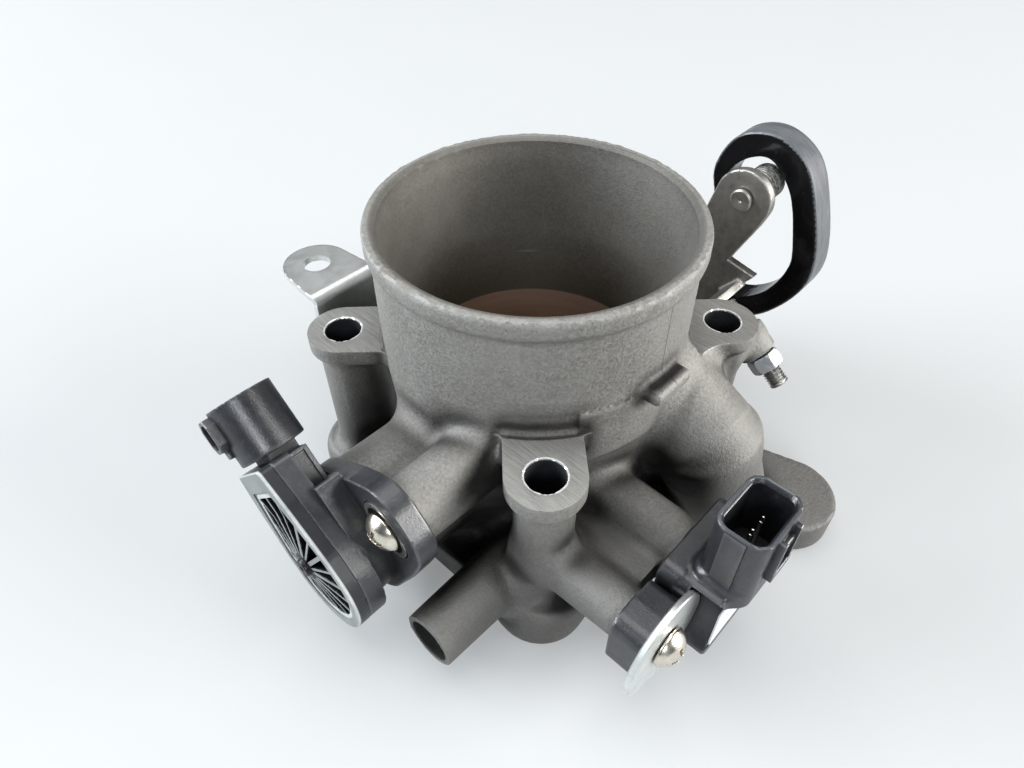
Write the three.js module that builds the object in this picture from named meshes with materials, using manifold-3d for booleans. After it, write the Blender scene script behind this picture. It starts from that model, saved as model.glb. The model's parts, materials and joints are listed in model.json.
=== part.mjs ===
// Cable-operated throttle body with a 62 mm bore, in millimetres, +Z up.
// Everything is drawn around the bore axis; the finished assembly is then centred over its footprint.

import * as THREE from 'three';
import { mergeVertices } from 'three/addons/utils/BufferGeometryUtils.js';
import Module from 'manifold-3d';

const wasm = await Module();
wasm.setup();

// ---- driving dimensions -------------------------------------------------

// Where the bore axis stands once the assembly is centred over its footprint.
const BORE_X = -2.85;
const BORE_Y = 5.7;

const GAP = 0.3;

const HEIGHT = 80;
const THROAT_RADIUS = 31;
const THROAT_TOP = 36.4;
const LIP_RADIUS = 35;
const LIP_OUTER = 37;
const LIP_DEPTH = 4.4;
const COLLAR_RADIUS = 35.9;
const BARREL_RADIUS = 35;

const BOLT_PITCH = 65;
const BOLT_HOLE_RADIUS = 4.3;
const BOLT_CHAMFER = 0.35;
const LUG_TOP = 49;
const LUG_THICKNESS = 4.2;
const LUG_RADIUS = 8.5;
const COLUMN_RADIUS = 6.6;
const FOOT_RADIUS = 9.8;
const FOOT_HEIGHT = 10.5;

const SHAFT_Z = 26.15;
const SHAFT_RADIUS = 5;
const BUSH_RADIUS = 7;
const BOSS_RADIUS = 15;
const SENSOR_BOSS_X = -53.6;
const LEVER_BOSS_X = 41;

const PLATE_THICKNESS = 2;
const PLATE_TILT = THREE.MathUtils.degToRad(-5);
const PLATE_EDGE_GAP = 0.35;

const TPS_SCREW_OFFSET = 19.2;
const TPS_FLANGE_X = SENSOR_BOSS_X - GAP;
const TPS_FLANGE_THICKNESS = 5;
const TPS_RIM_X = -71;
const TPS_HALF_WIDTH = 14;
const TPS_BOTTOM = 17.1;
const TPS_FLAT_AT = 23;
const TPS_FLAT_HALF = 9.7;
const TPS_BARREL_X = -63.4;
const TPS_BARREL_RADIUS = 7.4;
const TPS_BARREL_END = 38;

const MAP_FACE_Y = -56;
const MAP_AXIS_Z = 23.4;
const MAP_SCREW_X = -32.5;
const MAP_PORT_X = -12;
const MAP_PORT_Z = MAP_AXIS_Z + 0.4;

const LEVER_X = 55;
const LEVER_THICKNESS = 2.5;
const PIN = new THREE.Vector2(-20.1, 67.5);
const RING_X = 63.8;
const RING_WIDTH = 8.2;

const STOP_X = 45;
const STOP_TIP = new THREE.Vector3(STOP_X, -47, 28.1);
const STOP_DIRECTION = new THREE.Vector3(0, 0.78, 0.626).normalize();
const STOP_LENGTH = 25.6;

const BRACKET_Y = 42.6;
const BRACKET_TOP = 52.5;
const BRACKET_BOLT_X = [-26, -18];
const BRACKET_BOLT_Z = 25;
const SHEET = 1.6;

// Clearance holes, and the screws that go through them.
const M5_RADIUS = 2.5;
const M4_RADIUS = 2;

// The by-pass air passage runs from the collar over a knee down to the base lobe.
const PASSAGE_TOP = new THREE.Vector3(14.5, -27, 40);
const PASSAGE_KNEE = new THREE.Vector3(14.5, -42.5, 29.5);
const PASSAGE_LOW = new THREE.Vector3(19, -49, 8);
const PASSAGE_RADIUS = 12.8;
const LOBE_THICKNESS = 9;

// ---- solids -------------------------------------------------------------

const X = new THREE.Vector3(1, 0, 0);
const Y = new THREE.Vector3(0, 1, 0);
const Z = new THREE.Vector3(0, 0, 1);

function solid(geometry) {
  const bare = geometry.index ? geometry.toNonIndexed() : geometry.clone();
  bare.deleteAttribute('normal');
  bare.deleteAttribute('uv');
  const merged = mergeVertices(bare, 1e-4);
  return new wasm.Manifold(new wasm.Mesh({
    numProp: 3,
    vertProperties: new Float32Array(merged.attributes.position.array),
    triVerts: new Uint32Array(merged.index.array),
  }));
}

function join(...solids) {
  return solids.reduce((whole, next) => whole.add(next));
}

function cut(whole, ...tools) {
  return tools.reduce((rest, tool) => rest.subtract(tool), whole);
}

function place(geometry, direction, centre) {
  geometry.applyQuaternion(new THREE.Quaternion().setFromUnitVectors(Y, direction));
  geometry.translate(centre.x, centre.y, centre.z);
  return solid(geometry);
}

// A round bar from one point to another, straight or tapered.
function rod(from, to, radius, endRadius = radius, sides = 20) {
  const span = new THREE.Vector3().subVectors(to, from);
  const centre = new THREE.Vector3().addVectors(from, to).multiplyScalar(0.5);
  const geometry = new THREE.CylinderGeometry(endRadius, radius, span.length(), sides);
  return place(geometry, span.normalize(), centre);
}

function ball(centre, radius, sides = 16) {
  const geometry = new THREE.SphereGeometry(radius, sides, sides / 2);
  geometry.translate(centre.x, centre.y, centre.z);
  return solid(geometry);
}

function box(x0, x1, y0, y1, z0, z1) {
  const geometry = new THREE.BoxGeometry(x1 - x0, y1 - y0, z1 - z0);
  geometry.translate((x0 + x1) / 2, (y0 + y1) / 2, (z0 + z1) / 2);
  return solid(geometry);
}

// A turned piece around the bore axis from a closed [radius, z] profile.
function turned(profile, sides = 48) {
  const points = profile.map(([radius, z]) => new THREE.Vector2(radius, z));
  const geometry = new THREE.LatheGeometry(points, sides);
  geometry.rotateX(Math.PI / 2);
  return solid(geometry);
}

// An outline in the Y-Z plane, extruded along +X from x0 to x1.
function plateX(outline, x0, x1, segments = 8) {
  const geometry = new THREE.ExtrudeGeometry(outline, {
    depth: x1 - x0, bevelEnabled: false, curveSegments: segments,
  });
  geometry.applyMatrix4(new THREE.Matrix4().makeBasis(Y, Z, X));
  geometry.translate(x0, 0, 0);
  return solid(geometry);
}

// An outline in the X-Z plane, extruded along -Y from y0 down to y1.
function plateY(outline, y0, y1, segments = 8) {
  const geometry = new THREE.ExtrudeGeometry(outline, {
    depth: y0 - y1, bevelEnabled: false, curveSegments: segments,
  });
  geometry.applyMatrix4(new THREE.Matrix4().makeBasis(X, Z, Y.clone().negate()));
  geometry.translate(0, y0, 0);
  return solid(geometry);
}

// An outline in the X-Y plane, extruded up from z0 to z1.
function plateZ(outline, z0, z1, segments = 8) {
  const geometry = new THREE.ExtrudeGeometry(outline, {
    depth: z1 - z0, bevelEnabled: false, curveSegments: segments,
  });
  geometry.translate(0, 0, z0);
  return solid(geometry);
}

// A convex outline around circles given as [u, v, radius].
function around(circles, steps = 28) {
  const points = [];
  for (let i = 0; i < steps; i += 1) {
    const angle = (2 * Math.PI * i) / steps;
    const u = Math.cos(angle);
    const v = Math.sin(angle);
    const reach = circles.map(([cu, cv, radius]) => cu * u + cv * v + radius);
    const [cu, cv, radius] = circles[reach.indexOf(Math.max(...reach))];
    points.push(new THREE.Vector2(cu + radius * u, cv + radius * v));
  }
  return new THREE.Shape(points);
}

function roundedBox(u, v, halfU, halfV, radius) {
  const corners = [[1, 1], [-1, 1], [-1, -1], [1, -1]];
  return around(corners.map(([su, sv]) => [
    u + su * (halfU - radius), v + sv * (halfV - radius), radius,
  ]));
}

const at = (x, y, z) => new THREE.Vector3(x, y, z);

const assembly = new THREE.Group();
assembly.position.set(BORE_X, BORE_Y, 0);

function node(name, manifold, colour, roughness, metalness) {
  const mesh = manifold.getMesh();
  const geometry = new THREE.BufferGeometry();
  geometry.setAttribute('position', new THREE.BufferAttribute(mesh.vertProperties, 3));
  geometry.setIndex(new THREE.BufferAttribute(mesh.triVerts, 1));
  geometry.computeVertexNormals();
  const material = new THREE.MeshStandardMaterial({ color: colour, roughness, metalness });
  const object = new THREE.Mesh(geometry, material);
  object.name = name;
  assembly.add(object);
}

const CAST = [0x8a8780, 0.62, 0.85];
const STEEL = [0x9a958c, 0.4, 0.95];
const ZINC = [0xc3c6c4, 0.35, 0.95];
const NICKEL = [0xcfc8b8, 0.22, 1];
const BRASS = [0xa98d4f, 0.4, 0.9];
const BLACK = [0x25272a, 0.5, 0];
const RUBBER = [0x161616, 0.85, 0];
const TIN = [0xb9b9b4, 0.3, 1];
const LABEL = [0xe8eaee, 0.4, 0];

// ---- cast housing -------------------------------------------------------

const boltCorners = [[-1, 1], [-1, -1], [1, -1], [1, 1]].map(([sx, sy]) => [
  (sx * BOLT_PITCH) / 2, (sy * BOLT_PITCH) / 2,
]);

function barrel() {
  return turned([
    [0, 0], [BARREL_RADIUS + 1.5, 0], [BARREL_RADIUS, LUG_TOP - 16], [COLLAR_RADIUS + 0.2, LUG_TOP - 2],
    [COLLAR_RADIUS, HEIGHT - LIP_DEPTH - 0.8], [LIP_OUTER, HEIGHT - LIP_DEPTH + 0.4],
    [LIP_OUTER, HEIGHT - 0.6], [LIP_OUTER - 0.5, HEIGHT], [0, HEIGHT],
  ]);
}

function bore() {
  return turned([
    [0, -1], [THROAT_RADIUS, -1], [THROAT_RADIUS, THROAT_TOP], [THROAT_RADIUS + 0.5, 54.7],
    [LIP_RADIUS - 1.6, HEIGHT - 5], [LIP_RADIUS, HEIGHT], [LIP_RADIUS, HEIGHT + 1], [0, HEIGHT + 1],
  ]);
}

// One bolt position: lug, column and foot, tied to the barrel by a web.
function boltPost([x, y]) {
  const inward = at(-x, -y, 0).normalize();
  const side = at(-inward.y, inward.x, 0);
  const reach = 18;
  const lugOutline = new THREE.Shape([
    [LUG_RADIUS, 0], [LUG_RADIUS, reach], [-LUG_RADIUS, reach], [-LUG_RADIUS, 0],
  ].map(([across, along]) => new THREE.Vector2(
    x + side.x * across + inward.x * along, y + side.y * across + inward.y * along,
  )));
  const web = new THREE.Shape([[4, 2], [4, reach], [-4, reach], [-4, 2]].map(([across, along]) => (
    new THREE.Vector2(x + side.x * across + inward.x * along, y + side.y * across + inward.y * along)
  )));
  return join(
    rod(at(x, y, LUG_TOP - LUG_THICKNESS), at(x, y, LUG_TOP), LUG_RADIUS),
    plateZ(lugOutline, LUG_TOP - LUG_THICKNESS, LUG_TOP),
    rod(at(x, y, 1), at(x, y, LUG_TOP - 1), COLUMN_RADIUS),
    plateZ(web, 1, LUG_TOP - 1),
  );
}

function boltHole([x, y]) {
  return join(
    rod(at(x, y, -1), at(x, y, LUG_TOP + 1), BOLT_HOLE_RADIUS),
    rod(
      at(x, y, LUG_TOP - BOLT_CHAMFER), at(x, y, LUG_TOP + 1),
      BOLT_HOLE_RADIUS, BOLT_HOLE_RADIUS + BOLT_CHAMFER + 1,
    ),
  );
}

function baseFlange() {
  const square = around(boltCorners.map(([x, y]) => [x, y, FOOT_RADIUS]), 40);
  const lobe = around([[31, -62.5, 12], [18, -30, 14]], 32);
  return join(plateZ(square, 0, FOOT_HEIGHT), plateZ(lobe, 0, LOBE_THICKNESS));
}

function bypassPassage() {
  return join(
    rod(PASSAGE_TOP, PASSAGE_KNEE, PASSAGE_RADIUS),
    ball(PASSAGE_KNEE, PASSAGE_RADIUS),
    rod(PASSAGE_KNEE, PASSAGE_LOW, PASSAGE_RADIUS, PASSAGE_RADIUS - 0.8),
  );
}

const SENSOR_DIAGONAL = TPS_SCREW_OFFSET / Math.SQRT2;

function sensorSideBosses() {
  const start = -25;
  const screwBosses = [-1, 1].map((side) => {
    const y = side * SENSOR_DIAGONAL;
    const z = SHAFT_Z - side * SENSOR_DIAGONAL;
    return rod(at(SENSOR_BOSS_X, y, z), at(start, y, z), 7.4);
  });
  return join(
    rod(at(SENSOR_BOSS_X, 0, SHAFT_Z), at(start, 0, SHAFT_Z), BOSS_RADIUS),
    ...screwBosses,
  );
}

function leverSideBoss() {
  return rod(at(LEVER_BOSS_X, 0, SHAFT_Z), at(25, 0, SHAFT_Z), 12);
}

const PLUG_TUBE_Y = -26;
const PLUG_TUBE_Z = 13.2;
const PLUG_TUBE_X = -61.6;
const PLUG_TUBE_RADIUS = 6.6;
const PLUG_TUBE_WALL = 1.4;

function plugTube() {
  return rod(
    at(PLUG_TUBE_X, PLUG_TUBE_Y, PLUG_TUBE_Z), at(-20, PLUG_TUBE_Y, PLUG_TUBE_Z),
    PLUG_TUBE_RADIUS, PLUG_TUBE_RADIUS + 1,
  );
}

// The sensor stands on a screw boss and a port boss, tied together by a rib.
function pressureSensorBosses() {
  const root = -28;
  return join(
    rod(at(MAP_SCREW_X, MAP_FACE_Y + GAP, MAP_AXIS_Z), at(MAP_SCREW_X, root, MAP_AXIS_Z), 5.6),
    rod(at(MAP_PORT_X, MAP_FACE_Y + GAP, MAP_PORT_Z), at(MAP_PORT_X, root + 2, MAP_PORT_Z), 7.2),
    box(MAP_SCREW_X, MAP_PORT_X, MAP_FACE_Y + 2, root, MAP_AXIS_Z - 4, MAP_AXIS_Z + 2.5),
  );
}

function alongStop(distance) {
  return STOP_TIP.clone().addScaledVector(STOP_DIRECTION, distance);
}

function stopScrewBoss() {
  return join(
    rod(alongStop(9.5), alongStop(19.5), 6, 6),
    rod(at(34, -33, 40), at(STOP_X, alongStop(14.5).y, alongStop(14.5).z), 5),
  );
}

function bracketPads() {
  const bottom = 14;
  return box(-30, -14, 30, BRACKET_Y - GAP, bottom, bottom + 22);
}

// The stop for the intake hose's clamp.
function collarTab() {
  return box(-7, 5, -41, -33, 53, 57);
}

// A raised step round the front of the collar, below the hose.
function collarStep() {
  const outer = COLLAR_RADIUS + 0.7;
  const top = 55;
  const step = turned([[0, LUG_TOP - 1], [outer, LUG_TOP - 1], [outer, top], [0, top]]);
  return step.intersect(box(-20, 20, -45, -28, 40, 60));
}

function shaftBores() {
  return join(
    rod(at(-60, 0, SHAFT_Z), at(60, 0, SHAFT_Z), SHAFT_RADIUS + GAP),
    rod(at(-60, 0, SHAFT_Z), at(-37, 0, SHAFT_Z), BUSH_RADIUS + GAP),
    rod(at(34, 0, SHAFT_Z), at(60, 0, SHAFT_Z), BUSH_RADIUS + GAP),
    rod(at(-60, 0, SHAFT_Z), at(-48, 0, SHAFT_Z), 9),
  );
}

// A casting has no sealed pinholes where its ribs meet, so only the outer skin is kept.
function withoutPinholes(whole) {
  const skins = whole.decompose();
  return skins.sort((a, b) => b.volume() - a.volume())[0];
}

function housing() {
  const body = join(
    barrel(), baseFlange(), bypassPassage(), sensorSideBosses(), leverSideBoss(), plugTube(),
    pressureSensorBosses(), stopScrewBoss(), bracketPads(), collarTab(), collarStep(),
    ...boltCorners.map(boltPost),
  );
  const aboveFace = box(-90, 90, -90, 90, 0, 120);
  const tpsScrewHoles = [-1, 1].map((side) => rod(
    at(-60, side * SENSOR_DIAGONAL, SHAFT_Z - side * SENSOR_DIAGONAL),
    at(-40, side * SENSOR_DIAGONAL, SHAFT_Z - side * SENSOR_DIAGONAL),
    M5_RADIUS + GAP, M5_RADIUS + GAP, 16,
  ));
  const bracketHoles = BRACKET_BOLT_X.map((x) => rod(
    at(x, 50, BRACKET_BOLT_Z), at(x, 32, BRACKET_BOLT_Z), M4_RADIUS + GAP, M4_RADIUS + GAP, 12,
  ));
  return cut(
    body.intersect(aboveFace), bore(), shaftBores(), ...boltCorners.map(boltHole), ...tpsScrewHoles,
    rod(
      at(MAP_SCREW_X, -60, MAP_AXIS_Z), at(MAP_SCREW_X, -42, MAP_AXIS_Z),
      M5_RADIUS + GAP, M5_RADIUS + GAP, 12,
    ),
    rod(at(MAP_PORT_X, -60, MAP_PORT_Z), at(MAP_PORT_X, -44, MAP_PORT_Z), 5),
    rod(at(MAP_PORT_X, -45, MAP_PORT_Z), at(MAP_PORT_X, -20, MAP_PORT_Z), 2, 2, 12),
    rod(
      at(PLUG_TUBE_X - 1, PLUG_TUBE_Y, PLUG_TUBE_Z), at(-46, PLUG_TUBE_Y, PLUG_TUBE_Z),
      PLUG_TUBE_RADIUS - PLUG_TUBE_WALL,
    ),
    rod(alongStop(5), alongStop(26), M5_RADIUS + GAP, M5_RADIUS + GAP, 12),
    ...bracketHoles,
  );
}

node('throttle_housing', withoutPinholes(housing()), ...CAST);

// A pressed cup that closes the tube a little way inside its mouth.
const PLUG_RADIUS = PLUG_TUBE_RADIUS - PLUG_TUBE_WALL - GAP;
node('passage_plug', cut(
  rod(
    at(PLUG_TUBE_X + 2.6, PLUG_TUBE_Y, PLUG_TUBE_Z), at(PLUG_TUBE_X + 4.6, PLUG_TUBE_Y, PLUG_TUBE_Z),
    PLUG_RADIUS,
  ),
  rod(
    at(PLUG_TUBE_X + 2, PLUG_TUBE_Y, PLUG_TUBE_Z), at(PLUG_TUBE_X + 3.4, PLUG_TUBE_Y, PLUG_TUBE_Z),
    PLUG_RADIUS - 1.1,
  ),
), ...ZINC);

// ---- shaft, bushes, seals and plate ------------------------------------

function sleeve(x0, x1, outer, inner, y = 0, z = SHAFT_Z, sides = 20) {
  return rod(at(x0, y, z), at(x1, y, z), outer, outer, sides)
    .subtract(rod(at(x0 - 1, y, z), at(x1 + 1, y, z), inner, inner, sides));
}

node('shaft_bush_left', sleeve(-46, -37.5, BUSH_RADIUS, SHAFT_RADIUS + 0.2), ...BRASS);
node('shaft_bush_right', sleeve(34.5, LEVER_BOSS_X - 3.4, BUSH_RADIUS, SHAFT_RADIUS + 0.2), ...BRASS);
node('shaft_seal_left', sleeve(-51, -48.3, 8.7, SHAFT_RADIUS + 0.2), ...RUBBER);
node('shaft_seal_right', sleeve(LEVER_BOSS_X - 3, LEVER_BOSS_X, BUSH_RADIUS, SHAFT_RADIUS + 0.2), ...RUBBER);

const SHAFT_START = -64.5;
const SHAFT_END = RING_X + RING_WIDTH + 1;
const PLATE_SCREW_X = [-12, 12];

function turnAroundShaft(manifoldGeometry) {
  manifoldGeometry.rotateX(PLATE_TILT);
  manifoldGeometry.translate(0, 0, SHAFT_Z);
  return manifoldGeometry;
}

function tiltedBox(halfX, halfY, halfZ) {
  return solid(turnAroundShaft(new THREE.BoxGeometry(2 * halfX, 2 * halfY, 2 * halfZ)));
}

// A bar square to the plate, from one height above its middle plane to another.
function plateRod(x, from, to, radius, endRadius = radius, sides = 12) {
  const geometry = new THREE.CylinderGeometry(endRadius, radius, to - from, sides);
  geometry.rotateX(Math.PI / 2);
  geometry.translate(x, 0, (from + to) / 2);
  return solid(turnAroundShaft(geometry));
}

const SCREW_HEAD_RADIUS = 3.6;
const SCREW_TOP = 4.4;

node('throttle_shaft', cut(
  join(
    rod(at(SHAFT_START, 0, SHAFT_Z), at(SHAFT_END - 7, 0, SHAFT_Z), SHAFT_RADIUS),
    rod(at(SHAFT_END - 8, 0, SHAFT_Z), at(SHAFT_END + 5.5, 0, SHAFT_Z), 3),
  ),
  tiltedBox(THROAT_RADIUS + 0.8, 8, PLATE_THICKNESS / 2 + GAP),
  box(SHAFT_START - 1, -58.5, -6, 6, SHAFT_Z + 3, SHAFT_Z + 6),
  ...PLATE_SCREW_X.map((x) => join(
    plateRod(x, -8, 8, M4_RADIUS + GAP),
    plateRod(x, SCREW_TOP - 2 - GAP, 8, SCREW_HEAD_RADIUS + GAP),
  )),
), ...STEEL);

node('throttle_plate', cut(
  rod(at(0, 0, 10), at(0, 0, 42), THROAT_RADIUS - PLATE_EDGE_GAP, THROAT_RADIUS - PLATE_EDGE_GAP, 48)
    .intersect(tiltedBox(40, 40, PLATE_THICKNESS / 2)),
  ...PLATE_SCREW_X.map((x) => plateRod(x, -8, 8, M4_RADIUS + GAP)),
), ...BRASS);

PLATE_SCREW_X.forEach((x, index) => node(`plate_screw_${index + 1}`, cut(
  join(
    plateRod(x, -4.6, SCREW_TOP - 1.8, M4_RADIUS),
    plateRod(x, SCREW_TOP - 2, SCREW_TOP, SCREW_HEAD_RADIUS - 0.4, SCREW_HEAD_RADIUS),
  ),
  box(x - 2.2, x + 2.2, -0.4, 0.4, SHAFT_Z + SCREW_TOP - 0.8, SHAFT_Z + SCREW_TOP + 2),
), ...STEEL));

// ---- throttle position sensor ------------------------------------------

// Sensor directions: "along" points up the connector, "across" towards the upper screw.
const ALONG = at(0, Math.SQRT1_2, Math.SQRT1_2);
const ACROSS = at(0, -Math.SQRT1_2, Math.SQRT1_2);

function sensorPoint(x, along, across) {
  return at(x, 0, SHAFT_Z).addScaledVector(ALONG, along).addScaledVector(ACROSS, across);
}

function sensorPlane(circles, steps = 28) {
  return around(circles.map(([along, across, radius]) => {
    const p = sensorPoint(0, along, across);
    return [p.y, p.z, radius];
  }), steps);
}

function sensorBody(halfWidth, bottom, flatAt, flatHalf) {
  const corner = 1.5;
  return sensorPlane([
    [0, 0, halfWidth],
    [halfWidth - bottom, 0, halfWidth],
    [flatAt - corner, flatHalf - corner, corner],
    [flatAt - corner, corner - flatHalf, corner],
  ], 36);
}

const TPS_FLANGE_FRONT = TPS_FLANGE_X - TPS_FLANGE_THICKNESS;
const TPS_COVER_X = TPS_RIM_X + 3.2;
const TPS_SOCKET_WALL = 1.3;
const TERMINAL_OFFSETS = [-3.2, 0, 3.2];
const TERMINAL_RADIUS = 0.6;
const SLOT_HALF = 2.2;
const SLEEVE_RADIUS = 4.6;

function slotOutline(radius, side) {
  return sensorPlane([
    [-SLOT_HALF, side * TPS_SCREW_OFFSET, radius], [SLOT_HALF, side * TPS_SCREW_OFFSET, radius],
  ], 16);
}

function tpsHousing() {
  const flange = plateX(sensorPlane([
    [0, 0, 16], [-2, TPS_SCREW_OFFSET, 8.6], [2, TPS_SCREW_OFFSET, 8.6],
    [-2, -TPS_SCREW_OFFSET, 8.6], [2, -TPS_SCREW_OFFSET, 8.6],
  ], 32), TPS_FLANGE_FRONT, TPS_FLANGE_X);
  const plate = plateX(
    sensorBody(TPS_HALF_WIDTH, TPS_BOTTOM, TPS_FLAT_AT, TPS_FLAT_HALF), TPS_COVER_X + GAP, -63.5,
  );
  const hub = plateX(
    sensorBody(TPS_HALF_WIDTH - 0.1, TPS_HALF_WIDTH - 0.1, 14.2, 12.5), -64, TPS_FLANGE_FRONT + 0.5,
  );
  const pinBlock = box(-64.2, -59.4, -9, 9, 12, 22.4).rotate([-45, 0, 0]).translate([0, 0, SHAFT_Z]);
  const neck = rod(
    sensorPoint(TPS_BARREL_X, 14, 0), sensorPoint(TPS_BARREL_X, TPS_FLAT_AT + 3, 0), 6,
  ).intersect(box(-67, -58, -60, 60, 0, 90));
  const barrelSolid = rod(
    sensorPoint(TPS_BARREL_X, TPS_FLAT_AT + 1.5, 0), sensorPoint(TPS_BARREL_X, TPS_BARREL_END, 0),
    TPS_BARREL_RADIUS, TPS_BARREL_RADIUS, 24,
  );
  const lockAt = sensorPoint(0, TPS_BARREL_END - 5, 0);
  const lock = box(-72.6, -66, -1.5, 5, -3.8, 3.8)
    .rotate([-45, 0, 0])
    .translate([0, lockAt.y, lockAt.z]);
  const socket = rod(
    sensorPoint(TPS_BARREL_X, TPS_FLAT_AT + 4, 0), sensorPoint(TPS_BARREL_X, TPS_BARREL_END + 1, 0),
    TPS_BARREL_RADIUS - TPS_SOCKET_WALL, TPS_BARREL_RADIUS - TPS_SOCKET_WALL, 24,
  );
  const rotorRoom = rod(at(-67, 0, SHAFT_Z), at(TPS_FLANGE_X + 1, 0, SHAFT_Z), 11);
  const slots = [-1, 1].map((side) => plateX(
    slotOutline(SLEEVE_RADIUS + GAP, side), TPS_FLANGE_FRONT - 1, TPS_FLANGE_X + 1,
  ));
  const pinHoles = TERMINAL_OFFSETS.map((offset) => terminal(offset, 0.25));
  const whole = join(flange, plate, hub, pinBlock, neck, barrelSolid, lock);
  return cut(whole, socket, rotorRoom, ...slots, ...pinHoles);
}

function terminal(offset, extra) {
  return rod(
    sensorPoint(TPS_BARREL_X, TPS_FLAT_AT - extra, offset),
    sensorPoint(TPS_BARREL_X, TPS_BARREL_END - 4, offset),
    TERMINAL_RADIUS + extra, TERMINAL_RADIUS + extra, 6,
  );
}

node('tps_housing', tpsHousing(), ...BLACK);

TERMINAL_OFFSETS.forEach((offset, index) => {
  node(`tps_terminal_${index + 1}`, terminal(offset, 0), ...TIN);
});

// The back cover: a flat rim around a recess crossed by raised spokes.
function tpsBackCover() {
  const rim = plateX(
    sensorBody(TPS_HALF_WIDTH, TPS_BOTTOM, TPS_FLAT_AT, TPS_FLAT_HALF), TPS_RIM_X, TPS_COVER_X,
  );
  const window = plateX(sensorPlane([
    [0, 0, 11.2], [-2.8, 0, 11.2], [15.5, 4.8, 1], [15.5, -4.8, 1],
  ]), TPS_RIM_X - 1, TPS_COVER_X - 1);
  const spokePairs = 9;
  const spokes = [];
  for (let i = 0; i < spokePairs; i += 1) {
    const spoke = solid(new THREE.BoxGeometry(2.4, 24.4, 0.9));
    spokes.push(spoke.rotate([(180 * i) / spokePairs, 0, 0]).translate([TPS_COVER_X - 1.6, 0, SHAFT_Z]));
  }
  const hub = rod(at(TPS_RIM_X - 1.8, 0, SHAFT_Z), at(TPS_COVER_X - 0.8, 0, SHAFT_Z), 2.2, 3.4, 20);
  return join(rim.subtract(window), ...spokes, hub);
}

node('tps_back_cover', tpsBackCover(), ...BLACK);

[-1, 1].forEach((side, index) => {
  const flangeSleeve = plateX(slotOutline(SLEEVE_RADIUS, side), TPS_FLANGE_FRONT - 0.2, TPS_FLANGE_X)
    .subtract(plateX(slotOutline(SLEEVE_RADIUS - 1.2, side), TPS_FLANGE_FRONT - 1, TPS_FLANGE_X + 1));
  node(`tps_sleeve_${index + 1}`, flangeSleeve, ...TIN);
  const centre = sensorPoint(0, 0, side * TPS_SCREW_OFFSET);
  const under = TPS_FLANGE_FRONT - 0.2 - GAP;
  node(`tps_screw_${index + 1}`, cut(
    join(
      rod(
        at(-44, centre.y, centre.z), at(under - 0.5, centre.y, centre.z), M5_RADIUS, M5_RADIUS, 12,
      ),
      rod(at(under, centre.y, centre.z), at(under - 3, centre.y, centre.z), 4.5, 3.6, 16),
    ),
    box(under - 4, under - 1.8, centre.y - 0.5, centre.y + 0.5, centre.z - 3.4, centre.z + 3.4),
  ), ...NICKEL);
});

node('tps_seal', sleeve(SENSOR_BOSS_X + 0.1, SENSOR_BOSS_X + 2.1, 8.7, 6.4), ...RUBBER);

node('tps_rotor', cut(
  rod(at(-66, 0, SHAFT_Z), at(-57.5, 0, SHAFT_Z), 9.5),
  rod(at(-64.8, 0, SHAFT_Z), at(-57, 0, SHAFT_Z), SHAFT_RADIUS + GAP)
    .subtract(box(-70, -58.5, -6, 6, SHAFT_Z + 3 + GAP, SHAFT_Z + 6)),
), ...BRASS);

// ---- manifold pressure sensor ------------------------------------------

const MAP_FLANGE_OUT = MAP_FACE_Y - 5;
const MAP_EAR_OUT = MAP_FACE_Y - 7.4;
const MAP_BODY_OUT = -70.5;
const MAP_SOCKET_Y = -67.6;
const MAP_RIM_Z = 50;
const MAP_TERMINALS = [-16, -12, -8];
const WASHER_RADIUS = 12.2;

function mapTerminal(x, extra) {
  return rod(
    at(x, MAP_SOCKET_Y, 31 - extra), at(x, MAP_SOCKET_Y, MAP_RIM_Z - 6),
    TERMINAL_RADIUS + extra, TERMINAL_RADIUS + extra, 6,
  );
}

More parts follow.
